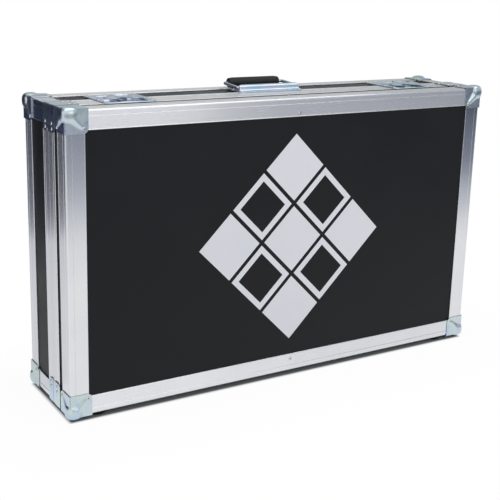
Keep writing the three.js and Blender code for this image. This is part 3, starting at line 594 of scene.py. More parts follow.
# the far corner of a leg is rounded about its rivet: a point of the square leg is drawn in to fit
def roundedTip(s, t, flat):
    reach = ballCorner["leg"] - flat
    a, b = (s - flat) / reach, (t - flat) / reach
    big = max(a, b)
    x, y = a / big, b / big
    radius = ballCorner["tipRadius"] / reach
    inner = 1 - radius
    if min(x, y) <= inner:
        return s, t
    length = math.sqrt(x * x + y * y)
    middle = inner * (x + y) / length
    edge = middle + math.sqrt(max(middle * middle - 2 * inner * inner + radius * radius, 0))
    scale = 1 + (edge / length - 1) * big ** 3
    return flat + a * scale * reach, flat + b * scale * reach


def cornerPoint(s, t):
    size = ballCorner
    flat = size["face"] + size["edge"]
    if s > flat and t > flat:
        s, t = roundedTip(s, t, flat)
    p = Vector((size["face"], s, t))
    core = Vector([max(q, flat) for q in p])
    out = p - core
    if out.length > 1e-6:
        p = core + out.normalized() * size["edge"]
    centre = Vector([size["ballInset"]] * 3)
    away = p - centre
    outward = away.normalized()
    p = centre + outward * max(away.length, ballSurface(outward))
    p.x = min(p.x, size["face"] - ridgeHeight((p.y + p.z) / 2, abs(p.y - p.z) / math.sqrt(2)))
    return tuple(p)


def ballCornerSheet():
    size = ballCorner
    flat = size["face"] + size["edge"]
    bends, steps = size["bendSteps"], size["steps"]
    stops = [flat - size["edge"] * math.tan(math.radians(45 * (1 - k / bends))) for k in range(bends)]
    stops += [flat + (size["leg"] - flat) * k / steps for k in range(steps + 1)]
    face = turnedOver(grid(len(stops), len(stops), lambda i, j: cornerPoint(stops[i], stops[j])))
    turns = (((1, 0, 0), (0, 1, 0), (0, 0, 1)),
             ((0, 1, 0), (0, 0, 1), (1, 0, 0)),
             ((0, 0, 1), (1, 0, 0), (0, 1, 0)))
    return joined(*[placed(face, (0, 0, 0), *axes) for axes in turns])


def addBallCorners():
    sheet = ballCornerSheet()
    for half, (outer, inward) in halves.items():
        for corner in corners:
            origin, axes = cornerAxes(corner, outer, inward)
            addPiece(f"{half}_{corner}_pressed_corner", placed(sheet, origin, *axes), zincPlate, half,
                     [f"{half}_{corner}_ball_corner"], wall=case["plate"], sharp=50)
            for k in range(3):
                spot = [ballCorner["leg"] - ballCorner["rivetInset"]] * 3
                spot[k] = ballCorner["face"] - ballCorner["rivetStand"]
                addRivet(half, spot, [-1 if i == k else 0 for i in range(3)], origin, axes)


addBallCorners()
print("ball corners are pressed")


# braces that fold round the closure's corners

brace = {"leg": 38.5, "tip": 6.0, "stand": 1.9, "bend": 4.4, "rows": 56, "columns": 11,
         "rib": 0.4, "ribNarrow": 2.4, "ribRise": (14, 22), "rivetsDown": (25.0, 33.0), "rivetSeat": 0.3,
         "lid": {"width": 27.0, "centre": -32.4, "rivets": -35.5},
         "base": {"width": 17.8, "centre": -9.3, "rivets": -9.8}}


# s runs along the top leg from its end, round the bend and down the side leg
def foldedPoint(s, across, lift):
    stand, radius = brace["stand"], brace["bend"]
    start = radius - stand
    straight = brace["leg"] - start
    if s < straight:
        return (brace["leg"] - s, across, -stand - lift)
    s -= straight
    bendLength = math.pi / 2 * radius
    if s < bendLength:
        t, r = s / radius, radius + lift
        return (start - r * math.sin(t), across, start - r * math.cos(t))
    return (-stand - lift, across, start + s - bendLength)


def braceSheet(width):
    total = 2 * (brace["leg"] - (brace["bend"] - brace["stand"])) + math.pi / 2 * brace["bend"]
    rows, columns, tip = brace["rows"], brace["columns"], brace["tip"]

    def point(i, j):
        s = total * i / (rows - 1)
        fromEnd = min(s, total - s)
        half = width / 2 - tip + math.sqrt(tip ** 2 - max(tip - fromEnd, 0) ** 2)
        share = 2 * j / (columns - 1) - 1
        rib = brace["rib"] * math.exp(-(share * brace["ribNarrow"]) ** 2)
        return foldedPoint(s, share * half, rib * easeStep(*brace["ribRise"], fromEnd))
    return grid(rows, columns, point)


for half in halves:
    own = brace[half]
    foldedBrace = braceSheet(own["width"])
    aside, seat = own["rivets"] - own["centre"], brace["rivetSeat"] - brace["stand"]
    for corner in corners:
        origin, axes = cornerAxes(corner, own["centre"], 1)
        addPiece(f"{half}_{corner}_closure_brace", placed(foldedBrace, origin, *axes), zincPlate, half,
                 wall=case["plate"], sharp=50)
        for far in brace["rivetsDown"]:
            addRivet(half, (far, aside, seat), (0, 0, -1), origin, axes)
            addRivet(half, (seat, aside, far), (-1, 0, 0), origin, axes)
print("closure braces are folded")


# feet

# wall: how far outside the tip's radius the rubber is, and at what height
foot = {"radius": 15.0, "tipRadius": 12.6, "height": 7.7, "recess": 5.0, "recessDepth": 4.0, "lip": 0.5,
        "flatInset": 1.6, "tipRound": 1.5, "wall": ((1.0, 3.4), (0.5, 3.8), (0.6, 4.2), (1.5, 4.6)),
        "rimHigh": 0.6, "rimWide": 0.4, "screwSunk": 0.1, "insetX": 51.0, "insetY": 20.0}


def footShape():
    recessRadius, deep, tip, high = foot["recess"], foot["recessDepth"], foot["tipRadius"], foot["height"]
    lip, bend, radius = foot["lip"], foot["tipRound"], foot["radius"]
    profile = [(recessRadius, deep), (recessRadius, lip), (recessRadius + lip, 0.0)]
    profile += [(tip - foot["flatInset"], 0.0), *arc(tip - bend, bend, bend, -70, -10, 4)]
    profile += [(tip + out, z) for out, z in foot["wall"]]
    profile += [(radius, high - foot["rimHigh"]), (radius - foot["rimWide"], high)]
    profile += [(pole, high), (pole, deep), (recessRadius, deep)]
    return lathe(profile)


screws = {"base": [], "lid": []}
rubberFoot = footShape()
for half, (outer, inward) in halves.items():
    for side, way in (("left", -1), ("right", 1)):
        x, y = way * (case["right"] - foot["insetX"]), outer + inward * foot["insetY"]
        addPiece(f"{half}_{side}_rubber_foot", moved(rubberFoot, x, y), blackRubber, half,
                 [f"{half}_{side}_foot"])
        screws[half].append((Vector((x, y, foot["recessDepth"] + foot["screwSunk"])), Vector(down)))
print("feet are moulded")


# butterfly latches; heights are above the ground

# a dish's steps: how far inside the outline of its flange or pan the sheet is, and how high over its lip
latch = {"x": 270.0, "pivotFromSeam": 20.0, "pinHeight": 473.9, "sheet": 1.2, "seamGap": 0.25,
         "flangeHalf": 43.0, "flangeRadius": 9.0, "panHalf": 31.8, "panRadius": 11.0,
         "leastRadius": 0.6, "turnSteps": 7,
         "flangeSteps": ((0.0, -1.4), (0.0, -0.5), (0.15, -0.15), (0.5, 0.0)),
         "panSteps": ((-2.6, 0.0), (-1.2, -0.25), (-0.3, -1.1), (0.0, -2.2), (0.7, -6.1), (1.3, -7.6),
                      (2.4, -8.3), (3.8, -8.5)),
         "lid": {"flange": 27.5, "pan": 22.8, "rivets": (-16,)},
         "base": {"flange": 60.0, "pan": 47.8, "rivets": (10, 52)}, "rivetX": 37.6}
pivotY = case["seam"] + latch["pivotFromSeam"]


def openOutline(half, reach, radius, inset, way):
    # from the seam round the dish's far side and back to the seam
    half, far, radius = half - inset, reach - inset, max(radius - inset, latch["leastRadius"])
    near, steps = latch["seamGap"], latch["turnSteps"]
    beside = (near + far - radius) / 2
    ring = [(half, near), (half, beside)] + arc(half - radius, far - radius, radius, 0, 90, steps)
    ring += arc(radius - half, far - radius, radius, 90, 180, steps) + [(-half, beside), (-half, near)]
    return [(x, case["seam"] + way * y) for x, y in ring]


def dishSheet(half):
    way = -halves[half][1]
    lip = case["top"] + case["fittingStand"] + latch["sheet"]
    flange = (latch["flangeHalf"], latch[half]["flange"], latch["flangeRadius"])
    pan = (latch["panHalf"], latch[half]["pan"], latch["panRadius"])
    rings = []
    for outline, steps in ((flange, latch["flangeSteps"]), (pan, latch["panSteps"])):
        for inset, rise in steps:
            rings.append([(x, y, lip + rise) for x, y in openOutline(*outline, inset, way)])
    count = len(rings[0])
    points, faces = grid(len(rings), count, lambda i, j: rings[i][j])
    last = (len(rings) - 1) * count
    for j in range(count // 2 - 1):
        faces.append((last + count - 1 - j, last + count - 2 - j, last + j + 1, last + j))
    return (points, faces) if way < 0 else turnedOver((points, faces))


keeper = {"half": 16.0, "fromSeam": 12.0, "height": 464.9, "ridge": 1.35, "stops": 13,
          "web": 1.2, "webFoot": 462.8, "webRound": 0.3,
          "postX": 1.4, "postY": 3.0, "postFoot": 462.9, "postTop": 466.2, "postRound": 0.6}


def keeperShape():
    half, y, high = keeper["half"], case["seam"] - keeper["fromSeam"], keeper["height"]
    last = keeper["stops"] - 1
    ridge = rodAlongX([-half + 2 * half * k / last for k in range(last + 1)], y, high, keeper["ridge"])
    web = roundedBox((-half, y - keeper["web"], keeper["webFoot"]), (half, y + keeper["web"], high),
                     keeper["webRound"], segments=1)
    posts = [roundedBox((x - keeper["postX"], y - keeper["postY"], keeper["postFoot"]),
                        (x + keeper["postX"], y + keeper["postY"], keeper["postTop"]),
                        keeper["postRound"], segments=2)
             for x in (-half, half)]
    return joined(ridge, web, *posts)


hook = {"half": 13.0, "waist": 11.5, "reach": 15.5, "shoulder": 9.0, "waistFrom": 13.0, "waistTo": 6.0,
        "slotRadius": 6.35, "travel": 6.5, "tail": 11.3, "tailRadius": 4.0,
        "low": 466.9, "high": 469.4, "edge": 0.35, "nose": 1.5, "noseInset": 1.6, "noseHeight": 469.0}


def hookShape():
    half, waist, radius = hook["half"], hook["waist"], hook["tailRadius"]
    end = case["seam"] - hook["reach"]
    tail = pivotY + hook["travel"] + hook["tail"] - radius
    side = [(half, end), (half, end + hook["shoulder"]), (waist, end + hook["waistFrom"]),
            (waist, pivotY - hook["waistTo"])]
    outline = side + arc(half - radius, tail, radius, 0, 90, 5) + arc(radius - half, tail, radius, 90, 180, 5)
    outline += [(-x, y) for x, y in reversed(side)]
    slot = arc(0, pivotY + hook["travel"], hook["slotRadius"], 0, 180, 12)
    slot += arc(0, pivotY, hook["slotRadius"], 180, 360, 12)
    plate = stamped([outline, slot[::-1]], hook["low"], hook["high"], hook["edge"])
    nose = rodAlongX((-half, 0, half), end + hook["noseInset"], hook["noseHeight"], hook["nose"])
    return joined(plate, nose)


# its steps: how far outside the flange or cap the metal is, and how high over the lower face
spool = {"low": 463.3, "flange": 14.0, "flangeSteps": ((-0.5, 0.0), (0.0, 0.5), (0.0, 2.6), (-0.6, 3.2)),
         "neck": 6.0, "neckFrom": 3.25, "cap": 13.0, "capLow": 469.7, "capHigh": 471.3,
         "capSteps": ((-0.4, 0.0), (0.0, 0.4), (0.0, 1.0), (-0.2, 1.4), (-0.8, 1.6)),
         "earFrom": 6.1, "earTo": 8.9, "earHalf": 4.2, "earRadius": 3.4, "earSunk": 0.5, "earEdge": 0.3}


def spoolShape():
    low, neck, capLow, capHigh = spool["low"], spool["neck"], spool["capLow"], spool["capHigh"]
    profile = [(pole, low), *[(spool["flange"] + out, low + rise) for out, rise in spool["flangeSteps"]],
               (neck, low + spool["neckFrom"]), (neck, capLow),
               *[(spool["cap"] + out, capLow + rise) for out, rise in spool["capSteps"]], (pole, capHigh)]
    parts = [lathe(profile, sides=64)]
    earFoot = capHigh - spool["earSunk"]
    ear = [(-spool["earHalf"], earFoot), (spool["earHalf"], earFoot)]
    ear += arc(0, latch["pinHeight"], spool["earRadius"], 0, 180, 12)
    for x0, x1 in ((-spool["earTo"], -spool["earFrom"]), (spool["earFrom"], spool["earTo"])):
        parts.append(placed(stamped([ear], x0, x1, spool["earEdge"]), (0, 0, 0), *alongX))
    return joined(*parts)


wing = {"lobeX": 18.0, "lobeY": -15.5, "lobeRadius": 12.7, "waistTop": -5.0, "waistBottom": -14.5,
        "blend": 5.0, "rows": 73, "columns": 23, "overPin": 0.75,
        "dome": 3.6, "domeReach": 0.9, "domeCrown": 0.6,
        "rim": 0.28, "rimFrom": 0.86, "rimX": 10.8, "waistRise": 0.5, "waistWidth": 6.0, "sheet": 1.4}


def wingSheet():
    rows, columns = wing["rows"], wing["columns"]
    lobeX, lobeY, radius = wing["lobeX"], wing["lobeY"], wing["lobeRadius"]

    def edges(x):
        lobe = math.sqrt(max(radius ** 2 - (abs(x) - lobeX) ** 2, 0))
        low, high = lobeY - lobe, lobeY + lobe
        if abs(x) < lobeX:
            high = smoothMax(high, wing["waistTop"], wing["blend"])
            low = -smoothMax(-low, -wing["waistBottom"], wing["blend"])
        return low, high

    def point(i, j):
        x = (lobeX + radius) * math.sin(math.pi / 2 * (2 * i / (rows - 1) - 1) * 0.999)  # short of a pole
        low, high = edges(x)
        y = low + (high - low) * (1 - math.cos(math.pi * j / (columns - 1))) / 2
        fromLobe = math.hypot(abs(x) - lobeX, y - lobeY) / radius
        z = latch["pinHeight"] + wing["overPin"]
        z += wing["dome"] * bell(fromLobe / wing["domeReach"]) ** wing["domeCrown"]
        if abs(x) > wing["rimX"]:
            z += wing["rim"] * easeStep(wing["rimFrom"], 1.0, fromLobe)
        return (x, y, z + wing["waistRise"] * math.exp(-(x / wing["waistWidth"]) ** 2))
    return grid(rows, columns, point)


wingPin = {"stops": (-12.1, -11.6, 11.6, 12.1), "radius": 2.1, "rollRadius": 3.3, "tabY": (-8.5, -1.5),
           "tabZ": (-0.8, 0.9), "tabRound": 0.3, "rolls": ((-12.0, -9.4), (-5.6, 5.6), (9.4, 12.0))}


def wingPinShape():
    z = latch["pinHeight"]
    (tabNear, tabFar), (tabLow, tabHigh) = wingPin["tabY"], wingPin["tabZ"]
    parts = [rodAlongX(wingPin["stops"], 0, z, wingPin["radius"], sides=20)]
    for x0, x1 in wingPin["rolls"]:
        parts.append(rodAlongX((x0, x1), 0, z, wingPin["rollRadius"], sides=24))
        parts.append(roundedBox((x0, tabNear, z + tabLow), (x1, tabFar, z + tabHigh),
                                wingPin["tabRound"], segments=1))
    return joined(*parts)


def addLatches():
    # piece, shape, the half or latch part that it rides on, the node it stands for, wall, sharp angle
    usual = meshing["sharpFrom"]
    pieces = (
        ("lid_tray", dishSheet("lid"), "lid", "lid_dish", latch["sheet"], 45),
        ("keeper", keeperShape(), "lid", None, 0.0, usual),
        ("base_tray", dishSheet("base"), "base", "base_dish", latch["sheet"], 45),
        ("stamped_hook", hookShape(), "hook", "hook", 0.0, usual),
        ("turned_spool", moved(spoolShape(), 0, pivotY), "spool", "spool", 0.0, usual),
        ("pressed_wing", moved(wingSheet(), 0, pivotY), "wing", "wing", wing["sheet"], 60),
        ("wing_pin", moved(wingPinShape(), 0, pivotY), "wing", None, 0.0, usual))
    for side, x in (("left", -latch["x"]), ("right", latch["x"])):
        for name, shape, carrier, node, wall, sharp in pieces:
            body = carrier if carrier in halves else f"{side}_{carrier}"
            stands = [f"{side}_latch_{node}"] if node else ()
            addPiece(f"{side}_latch_{name}", moved(shape, x), zincPlate, body, stands, wall, sharp)
        top = case["top"] + case["fittingStand"] + latch["sheet"]
        for dx in (-latch["rivetX"], latch["rivetX"]):
            for half in halves:
                for y in latch[half]["rivets"]:
                    addRivet(half, (x + dx, case["seam"] + y, top), up)


addLatches()
print("latches are built")


# carrying handle; a skirt's points: how far behind the wire's axis, and how high over the plate

handle = {"plateHalf": 60.0, "plateFront": -6.0, "plateRear": 32.0, "plateRadius": 6.0, "plateThick": 1.5,
          "edgeDrop": 0.4, "rollHalf": 52.5, "skirtHalf": 58.5, "skirtWidens": (1, -3), "endSlope": 1.5,
          "pivot": (8.0, 476.5), "roll": 5.4, "rollTurn": (168, 10), "innerStops": (46, 0, -4),
          "endStops": (60.0, 59.5, 58.7, 58.2, 57.7, 57.2, 56.5, 55.0, 53.5, 52.5, 52.0, 51.5, 51.0, 50.0),
          "frontSkirt": ((-12.5, 0.0), (-11.0, 0.0), (-9.0, 0.15), (-7.4, 0.7), (-6.2, 1.7), (-5.5, 3.0),
                         (-5.1, 4.4), (-4.8, 5.2), (-5.2, 5.6)),
          "rearSkirt": ((5.4, 4.4), (5.6, 3.0), (6.3, 1.7), (7.4, 0.7), (9.0, 0.15), (11.0, 0.0),
                        (17.0, 0.0)),
          "wire": 2.75, "bailHalf": 56.5, "bailReach": 48.5, "bend": 6.0, "hold": 34.0,
          "gripHalf": 48.5, "gripRadius": 8.75, "gripEnd": 8.0, "gripRound": 1.8, "gripSeat": 8.8,
          "flareFrom": 2.0, "flareLong": 6.0, "flareSteps": 8,
          "rivetX": 56.0, "rivetY": (-1.5, 27.0)}  # pivot: y and height of the wire's axis
handleBase = case["top"] + case["fittingStand"]


# The plate is pressed up in front and rolled over the wire. Its rolled edge stops on the front.
def handlePlateShape():
    size = handle
    axisY, axisZ = size["pivot"]
    axisRise = axisZ - handleBase - size["plateThick"]
    middle = (size["plateFront"] + size["plateRear"]) / 2
    halfDepth = (size["plateRear"] - size["plateFront"]) / 2
    near, far = size["plateFront"] - axisY, size["plateRear"] - axisY
    section = [(near, -size["edgeDrop"]), (near + 0.5, 0.0), *size["frontSkirt"],
               *arc(0, axisRise, size["roll"], *size["rollTurn"], 20), *size["rearSkirt"],
               (far - 0.5, 0.0), (far, -size["edgeDrop"])]
    ends = [*size["endStops"], *range(*size["innerStops"])]
    stops = [-x for x in ends] + ends[::-1]

    def outlined(x, y):
        radius = size["plateRadius"]
        over = (abs(x) - (size["plateHalf"] - radius), abs(y - middle) - (halfDepth - radius))
        if min(over) > 0:  # pull the square corner back on to its arc
            k = max(over) / math.hypot(*over)
            x -= math.copysign(over[0] * (1 - k), x)
            y -= math.copysign(over[1] * (1 - k), y - middle)
        return x, y

    def top(i, j):
        off, rise = section[j]
        wider = size["skirtHalf"] - size["rollHalf"]
        half = size["rollHalf"] + wider * easeStep(*size["skirtWidens"], off)
        rise *= easeStep(half, half - size["endSlope"], abs(stops[i]))
        if i in (0, len(stops) - 1):
            rise = -size["edgeDrop"]
        return (*outlined(stops[i], axisY + off), handleBase + size["plateThick"] + rise)

    rows, columns = len(stops), len(section)
    points, faces = grid(rows, columns, top)
    edge = [(i, 0) for i in range(rows)] + [(rows - 1, j) for j in range(1, columns)]
    edge += [(i, columns - 1) for i in range(rows - 2, -1, -1)] + [(0, j) for j in range(columns - 2, 0, -1)]
    ids = [i * columns + j for i, j in edge]
    rim = [(*points[k][:2], handleBase) for k in ids]
    start, count = len(points), len(edge)
    for k in range(count):
        after = (k + 1) % count
        faces.append((ids[k], ids[after], start + after, start + k))
    return points + rim, faces + [tuple(start + k for k in range(count))]


def bailPath():
    x, y, bend = handle["bailHalf"] - handle["bend"], handle["bailReach"] - handle["bend"], handle["bend"]
    side = [(-handle["hold"], 0.0), (-x, 0.0)] + arc(-x, bend, bend, 270, 180, 8)[1:]
    side += arc(-x, y, bend, 180, 90, 8)
    return [Vector((px, py, 0)) for px, py in side + [(-px, py) for px, py in reversed(side)]]


def gripShape():
    half, radius, end, edge = handle["gripHalf"], handle["gripRadius"], handle["gripEnd"], handle["gripRound"]
    profile = [(handle["wire"] + 0.1, -half), (end - edge, -half)]
    profile += arc(end - edge, edge - half, edge, -90, -8, 6)
    for k in range(handle["flareSteps"] + 1):
        share = k / handle["flareSteps"]
        flared = end + (radius - end) * easeStep(0, 1, share)
        profile.append((flared, handle["flareFrom"] - half + handle["flareLong"] * share))
    profile += [(r, -z) for r, z in reversed(profile)]
    return lathe(profile, sides=56)


def addHandle():
    addPiece("handle_pressed_plate", handlePlateShape(), zincPlate, "base", ["handle_plate"], sharp=50)
    tilt = math.asin((handleBase + handle["gripSeat"] - handle["pivot"][1]) / handle["bailReach"])
    pivot = (0, *handle["pivot"])
    axes = ((1, 0, 0), (0, math.cos(tilt), math.sin(tilt)), (0, -math.sin(tilt), math.cos(tilt)))
    bail = placed(tube(bailPath(), handle["wire"], sides=20), pivot, *axes)
    addPiece("handle_wire_bail", bail, zincPlate, "handle", ["handle_bail"])
    grip = placed(placed(gripShape(), (0, handle["bailReach"], 0), *alongX), pivot, *axes)
    addPiece("handle_rubber_grip", grip, blackRubber, "handle", ["handle_grip"])
    for x in (-handle["rivetX"], handle["rivetX"]):
        for y in handle["rivetY"]:
            addRivet("base", (x, y, handleBase + handle["plateThick"]), up)


addHandle()
print("handle is bent")


# hinges under the seam

hinge = {"x": 235.0, "half": 38.0, "leaf": 26.0, "thick": 1.5, "knuckle": 3.0, "count": 5, "gap": 0.3,
         "leafEdge": 0.25, "knuckleRound": 0.3, "tieRound": 0.2, "tieSunk": 0.05,
         "cornerRadius": 3, "rivetX": (-26, 0, 26), "rivetFromSeam": 19, "rivetDrop": 1.75}


def hingeLeaf(way, orders):
    knuckle, gap, seam, half = hinge["knuckle"], hinge["gap"], case["seam"], hinge["half"]
    bend, tieTop = hinge["knuckleRound"], case["bottom"] - gap - hinge["tieSunk"]
    high = case["bottom"] - gap
    low = high - hinge["thick"]
    near = knuckle + gap
    y0, y1 = sorted((seam + way * near, seam + way * (near + hinge["leaf"])))
    tie0, tie1 = sorted((seam, seam + way * (near + 1)))
    pitch = 2 * half / hinge["count"]
    outline = roundedRectangle(-half, half, y0, y1, hinge["cornerRadius"], 6)
    parts = [stamped([outline], low, high, hinge["leafEdge"])]
    for k in orders:
        x0 = -half + k * pitch + gap / 2
        x1 = x0 + pitch - gap
        profile = [(pole, x0), (knuckle - bend, x0), (knuckle, x0 + bend), (knuckle, x1 - bend),
                   (knuckle - bend, x1), (pole, x1)]
        parts.append(placed(lathe(profile, sides=28), (0, seam, high - knuckle), *alongX))
        parts.append(roundedBox((x0, tie0, low), (x1, tie1, tieTop), hinge["tieRound"], segments=1))
    return joined(*parts)


for half, way, orders in (("base", 1, (0, 2, 4)), ("lid", -1, (1, 3))):
    leaf = hingeLeaf(way, orders)
    for side, x in (("left", -hinge["x"]), ("right", hinge["x"])):
        addPiece(f"{side}_hinge_{half}_plate", moved(leaf, x), zincPlate, half, [f"{side}_hinge_{half}_leaf"])
        for dx in hinge["rivetX"]:
            y = case["seam"] + way * hinge["rivetFromSeam"]
            addRivet(half, (x + dx, y, case["bottom"] - hinge["rivetDrop"]), down)
print("hinges are built")


# foam: four walls and a back in each half

lining = {"thick": 8.0, "inset": 12.6, "round": 2.2, "joint": 0.25,
          "base": {"mouth": -18.1, "back": 71.9, "node": "base_foam_lining"},
          "lid": {"mouth": -43.9, "back": -71.9, "node": "lid_foam_pad"}}


def foamSlabs(half):
    thick, joint = lining["thick"], lining["joint"]
    mouth, back = lining[half]["mouth"], lining[half]["back"]
    face = back + halves[half][1] * thick
    right = case["right"] - lining["inset"]
    low, high = case["bottom"] + lining["inset"], case["top"] - lining["inset"]
    y0, y1 = sorted((mouth, back))
    back0, back1 = sorted((face, back))
    z0, z1 = low + thick + joint, high - thick - joint
    boxes = (((-right, y0, high - thick), (right, y1, high)),
             ((-right, y0, low), (right, y1, low + thick)),
             ((-right, y0, z0), (thick - right, y1, z1)),
             ((right - thick, y0, z0), (right, y1, z1)),
             ((thick - right + joint, back0, z0), (right - thick - joint, back1, z1)))
    return joined(*[roundedBox(start, end, lining["round"]) for start, end in boxes])


for half in ("base", "lid"):
    slabs = addPiece(f"{half}_foam_slabs", foamSlabs(half), greyFoam, half, [lining[half]["node"]])
print("foam is cut")


# print on the front, a plain lattice of diamonds

lattice = {"reach": 178.0, "count": 3, "gap": 9.0, "line": 13.0, "centre": (0.0, 239.0), "face": -81.2,
           "film": 0.12, "sunk": 0.02}


def diamond(x, y, z, reach):
    return [(x + reach, y, z), (x, y, z + reach), (x - reach, y, z), (x, y, z - reach)]


# solid and framed diamonds take turns
def diamondTile(x, z, reach, framed):
    front, back = lattice["face"] - lattice["film"], lattice["face"] + lattice["sunk"]
    points = diamond(x, front, z, reach) + diamond(x, back, z, reach)
    faces = [] if framed else [(0, 1, 2, 3), (7, 6, 5, 4)]
    for k in range(4):
        n = (k + 1) % 4
        if framed:
            faces += [(k, n, 8 + n, 8 + k), (4 + n, 4 + k, 12 + k, 12 + n), (8 + k, 8 + n, 12 + n, 12 + k)]
        faces.append((k, 4 + k, 4 + n, n))
    if framed:
        inner = reach - lattice["line"]
        points += diamond(x, front, z, inner) + diamond(x, back, z, inner)
    return points, faces


def diamondLattice():
    count = lattice["count"]
    cell = lattice["reach"] / count
    x, z = lattice["centre"]
    tiles = []
    for i in range(count):
        for j in range(count):
            tileX, tileZ = x + (i - j) * cell, z + (i + j - count + 1) * cell
            tiles.append(diamondTile(tileX, tileZ, cell - lattice["gap"] / 2, (i + j) % 2 == 1))
    return joined(*tiles)


addPiece("lid_printed_lattice", diamondLattice(), whitePrint, "lid", sharp=20)
print("lattice is printed")


# rivets and screws, set with geometry nodes; a head's dark parts are painted shade and carry the attribute
# "recess"

rivetSizes = {"Head Diameter": 5.6, "Head Height": 1.5, "Rim Width": 0.5, "Hole Width": 1.9,
              "Size Spread": 0.04, "Seed": 7}
screwSizes = {"Head Diameter": 7.6, "Head Height": 2.0, "Drive Width": 1.1, "Size Spread": 0.0, "Seed": 3}
headShares = {"holeDepth": 2.01, "driveLength": 1.15, "driveDepth": 1.02}  # of a head's height or radius
angleRivets = {"x": 3.0, "sink": 0.05, "frontTop": 24.3, "frontBottom": 21.0, "fromFace": 24.0}


# a wide rim under the dome, and a dark cylinder in its middle, painted shade for the hole, whose end stands a
# hair above the dome
def rivetParts(tree, given, radius):
    rimRadius = addNode(tree, "ShaderNodeMath", {0: radius, 1: given["Rim Width"]}, operation="ADD")
    rim = addNode(tree, "GeometryNodeMeshCylinder", {
        "Vertices": 24, "Radius": rimRadius, "Depth": given["Rim Width"]})
    holeRadius = addNode(tree, "ShaderNodeMath", {0: given["Hole Width"], 1: 0.5}, operation="MULTIPLY")
    depth = addNode(tree, "ShaderNodeMath", {
        0: given["Head Height"], 1: headShares["holeDepth"]}, operation="MULTIPLY")
    hole = addNode(tree, "GeometryNodeMeshCylinder", {"Vertices": 12, "Radius": holeRadius, "Depth": depth})
    return [rim], [hole]


# the two dark bars of a crosshead drive, painted shade for its slots, a hair above the dome too
def screwParts(tree, given, radius):
    length = addNode(tree, "ShaderNodeMath", {
        0: radius, 1: headShares["driveLength"]}, operation="MULTIPLY")
    depth = addNode(tree, "ShaderNodeMath", {
        0: given["Head Height"], 1: headShares["driveDepth"]}, operation="MULTIPLY")
    half = addNode(tree, "ShaderNodeMath", {0: given["Head Height"], 1: 0.5}, operation="MULTIPLY")
    lift = addNode(tree, "ShaderNodeCombineXYZ", {"Z": half})
    bars = []
    for lengthways, crossways in (("X", "Y"), ("Y", "X")):
        size = addNode(tree, "ShaderNodeCombineXYZ", {
            lengthways: length, crossways: given["Drive Width"], "Z": depth})
        bar = addNode(tree, "GeometryNodeMeshCube", {"Size": size})
        bars.append(addNode(tree, "GeometryNodeTransform", {"Geometry": bar, "Translation": lift}))
    return [], bars


def fastenerTree(name, sizes, partsOf, metal):
    tree = bpy.data.node_groups.new(name, "GeometryNodeTree")
    tree.interface.new_socket("Geometry", in_out="INPUT", socket_type="NodeSocketGeometry")
    tree.interface.new_socket("Geometry", in_out="OUTPUT", socket_type="NodeSocketGeometry")
    for title in sizes:
        kind = "NodeSocketInt" if title == "Seed" else "NodeSocketFloat"
        tree.interface.new_socket(title, in_out="INPUT", socket_type=kind)
    given = addNode(tree, "NodeGroupInput", {}).outputs
    radius = addNode(tree, "ShaderNodeMath", {0: given["Head Diameter"], 1: 0.5}, operation="MULTIPLY")
    squash = addNode(tree, "ShaderNodeMath", {0: given["Head Height"], 1: radius}, operation="DIVIDE")
    flat = addNode(tree, "ShaderNodeCombineXYZ", {"X": 1.0, "Y": 1.0, "Z": squash})
    ball = addNode(tree, "GeometryNodeMeshUVSphere", {"Segments": 20, "Rings": 12, "Radius": radius})
    dome = addNode(tree, "GeometryNodeTransform", {"Geometry": ball, "Scale": flat})
    bright, dark = partsOf(tree, given, radius)
    parts = [dome, *bright]
    for part in dark:
        parts.append(addNode(tree, "GeometryNodeStoreNamedAttribute", {
            "Geometry": part, "Name": "recess", "Value": True}, data_type="BOOLEAN", domain="FACE"))
    head = addNode(tree, "GeometryNodeJoinGeometry", {})
    for part in parts:
        tree.links.new(part.outputs[0], head.inputs[0])
    smooth = addNode(tree, "GeometryNodeSetShadeSmooth", {"Geometry": head})
    facing = addNode(tree, "GeometryNodeInputNamedAttribute", {"Name": "facing"}, data_type="FLOAT_VECTOR")
    turn = addNode(tree, "FunctionNodeAlignRotationToVector", {"Vector": facing}, axis="Z")
    least = addNode(tree, "ShaderNodeMath", {0: 1.0, 1: given["Size Spread"]}, operation="SUBTRACT")
    scale = addNode(tree, "FunctionNodeRandomValue", {
        2: least, 3: 1.0, "Seed": given["Seed"]}, data_type="FLOAT")
    copies = addNode(tree, "GeometryNodeInstanceOnPoints", {
        "Points": given["Geometry"], "Instance": smooth, "Rotation": turn, "Scale": scale.outputs[1]})
    real = addNode(tree, "GeometryNodeRealizeInstances", {"Geometry": copies})
    plated = addNode(tree, "GeometryNodeSetMaterial", {"Geometry": real, "Material": metal})
    paintedShadeFaces = addNode(tree, "GeometryNodeInputNamedAttribute", {"Name": "recess"}, data_type="BOOLEAN")
    finished = addNode(tree, "GeometryNodeSetMaterial", {
        "Geometry": plated, "Selection": paintedShadeFaces, "Material": paintedDriveShade})
    addNode(tree, "NodeGroupOutput", {0: finished})
    return tree


def addFasteners(name, tree, sizes, spots, body):
    mesh = bpy.data.meshes.new(name)
    mesh.from_pydata([tuple(place * mm) for place, facing in spots], [], [])
    facing = mesh.attributes.new("facing", "FLOAT_VECTOR", "POINT")
    for k, (place, way) in enumerate(spots):
        facing.data[k].vector = way
    piece = bpy.data.objects.new(name, mesh)
    scene.collection.objects.link(piece)
    nodes = piece.modifiers.new("fasteners", "NODES")
    nodes.node_group = tree
    for item in tree.interface.items_tree:
        if item.in_out == "INPUT" and item.name in sizes:
            value = sizes[item.name]
            nodes[item.identifier] = value if item.name in ("Seed", "Size Spread") else value * mm
    plain(piece)
    piece.data.set_sharp_from_angle(angle=math.radians(meshing["sharpFrom"]))
    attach(piece, body)


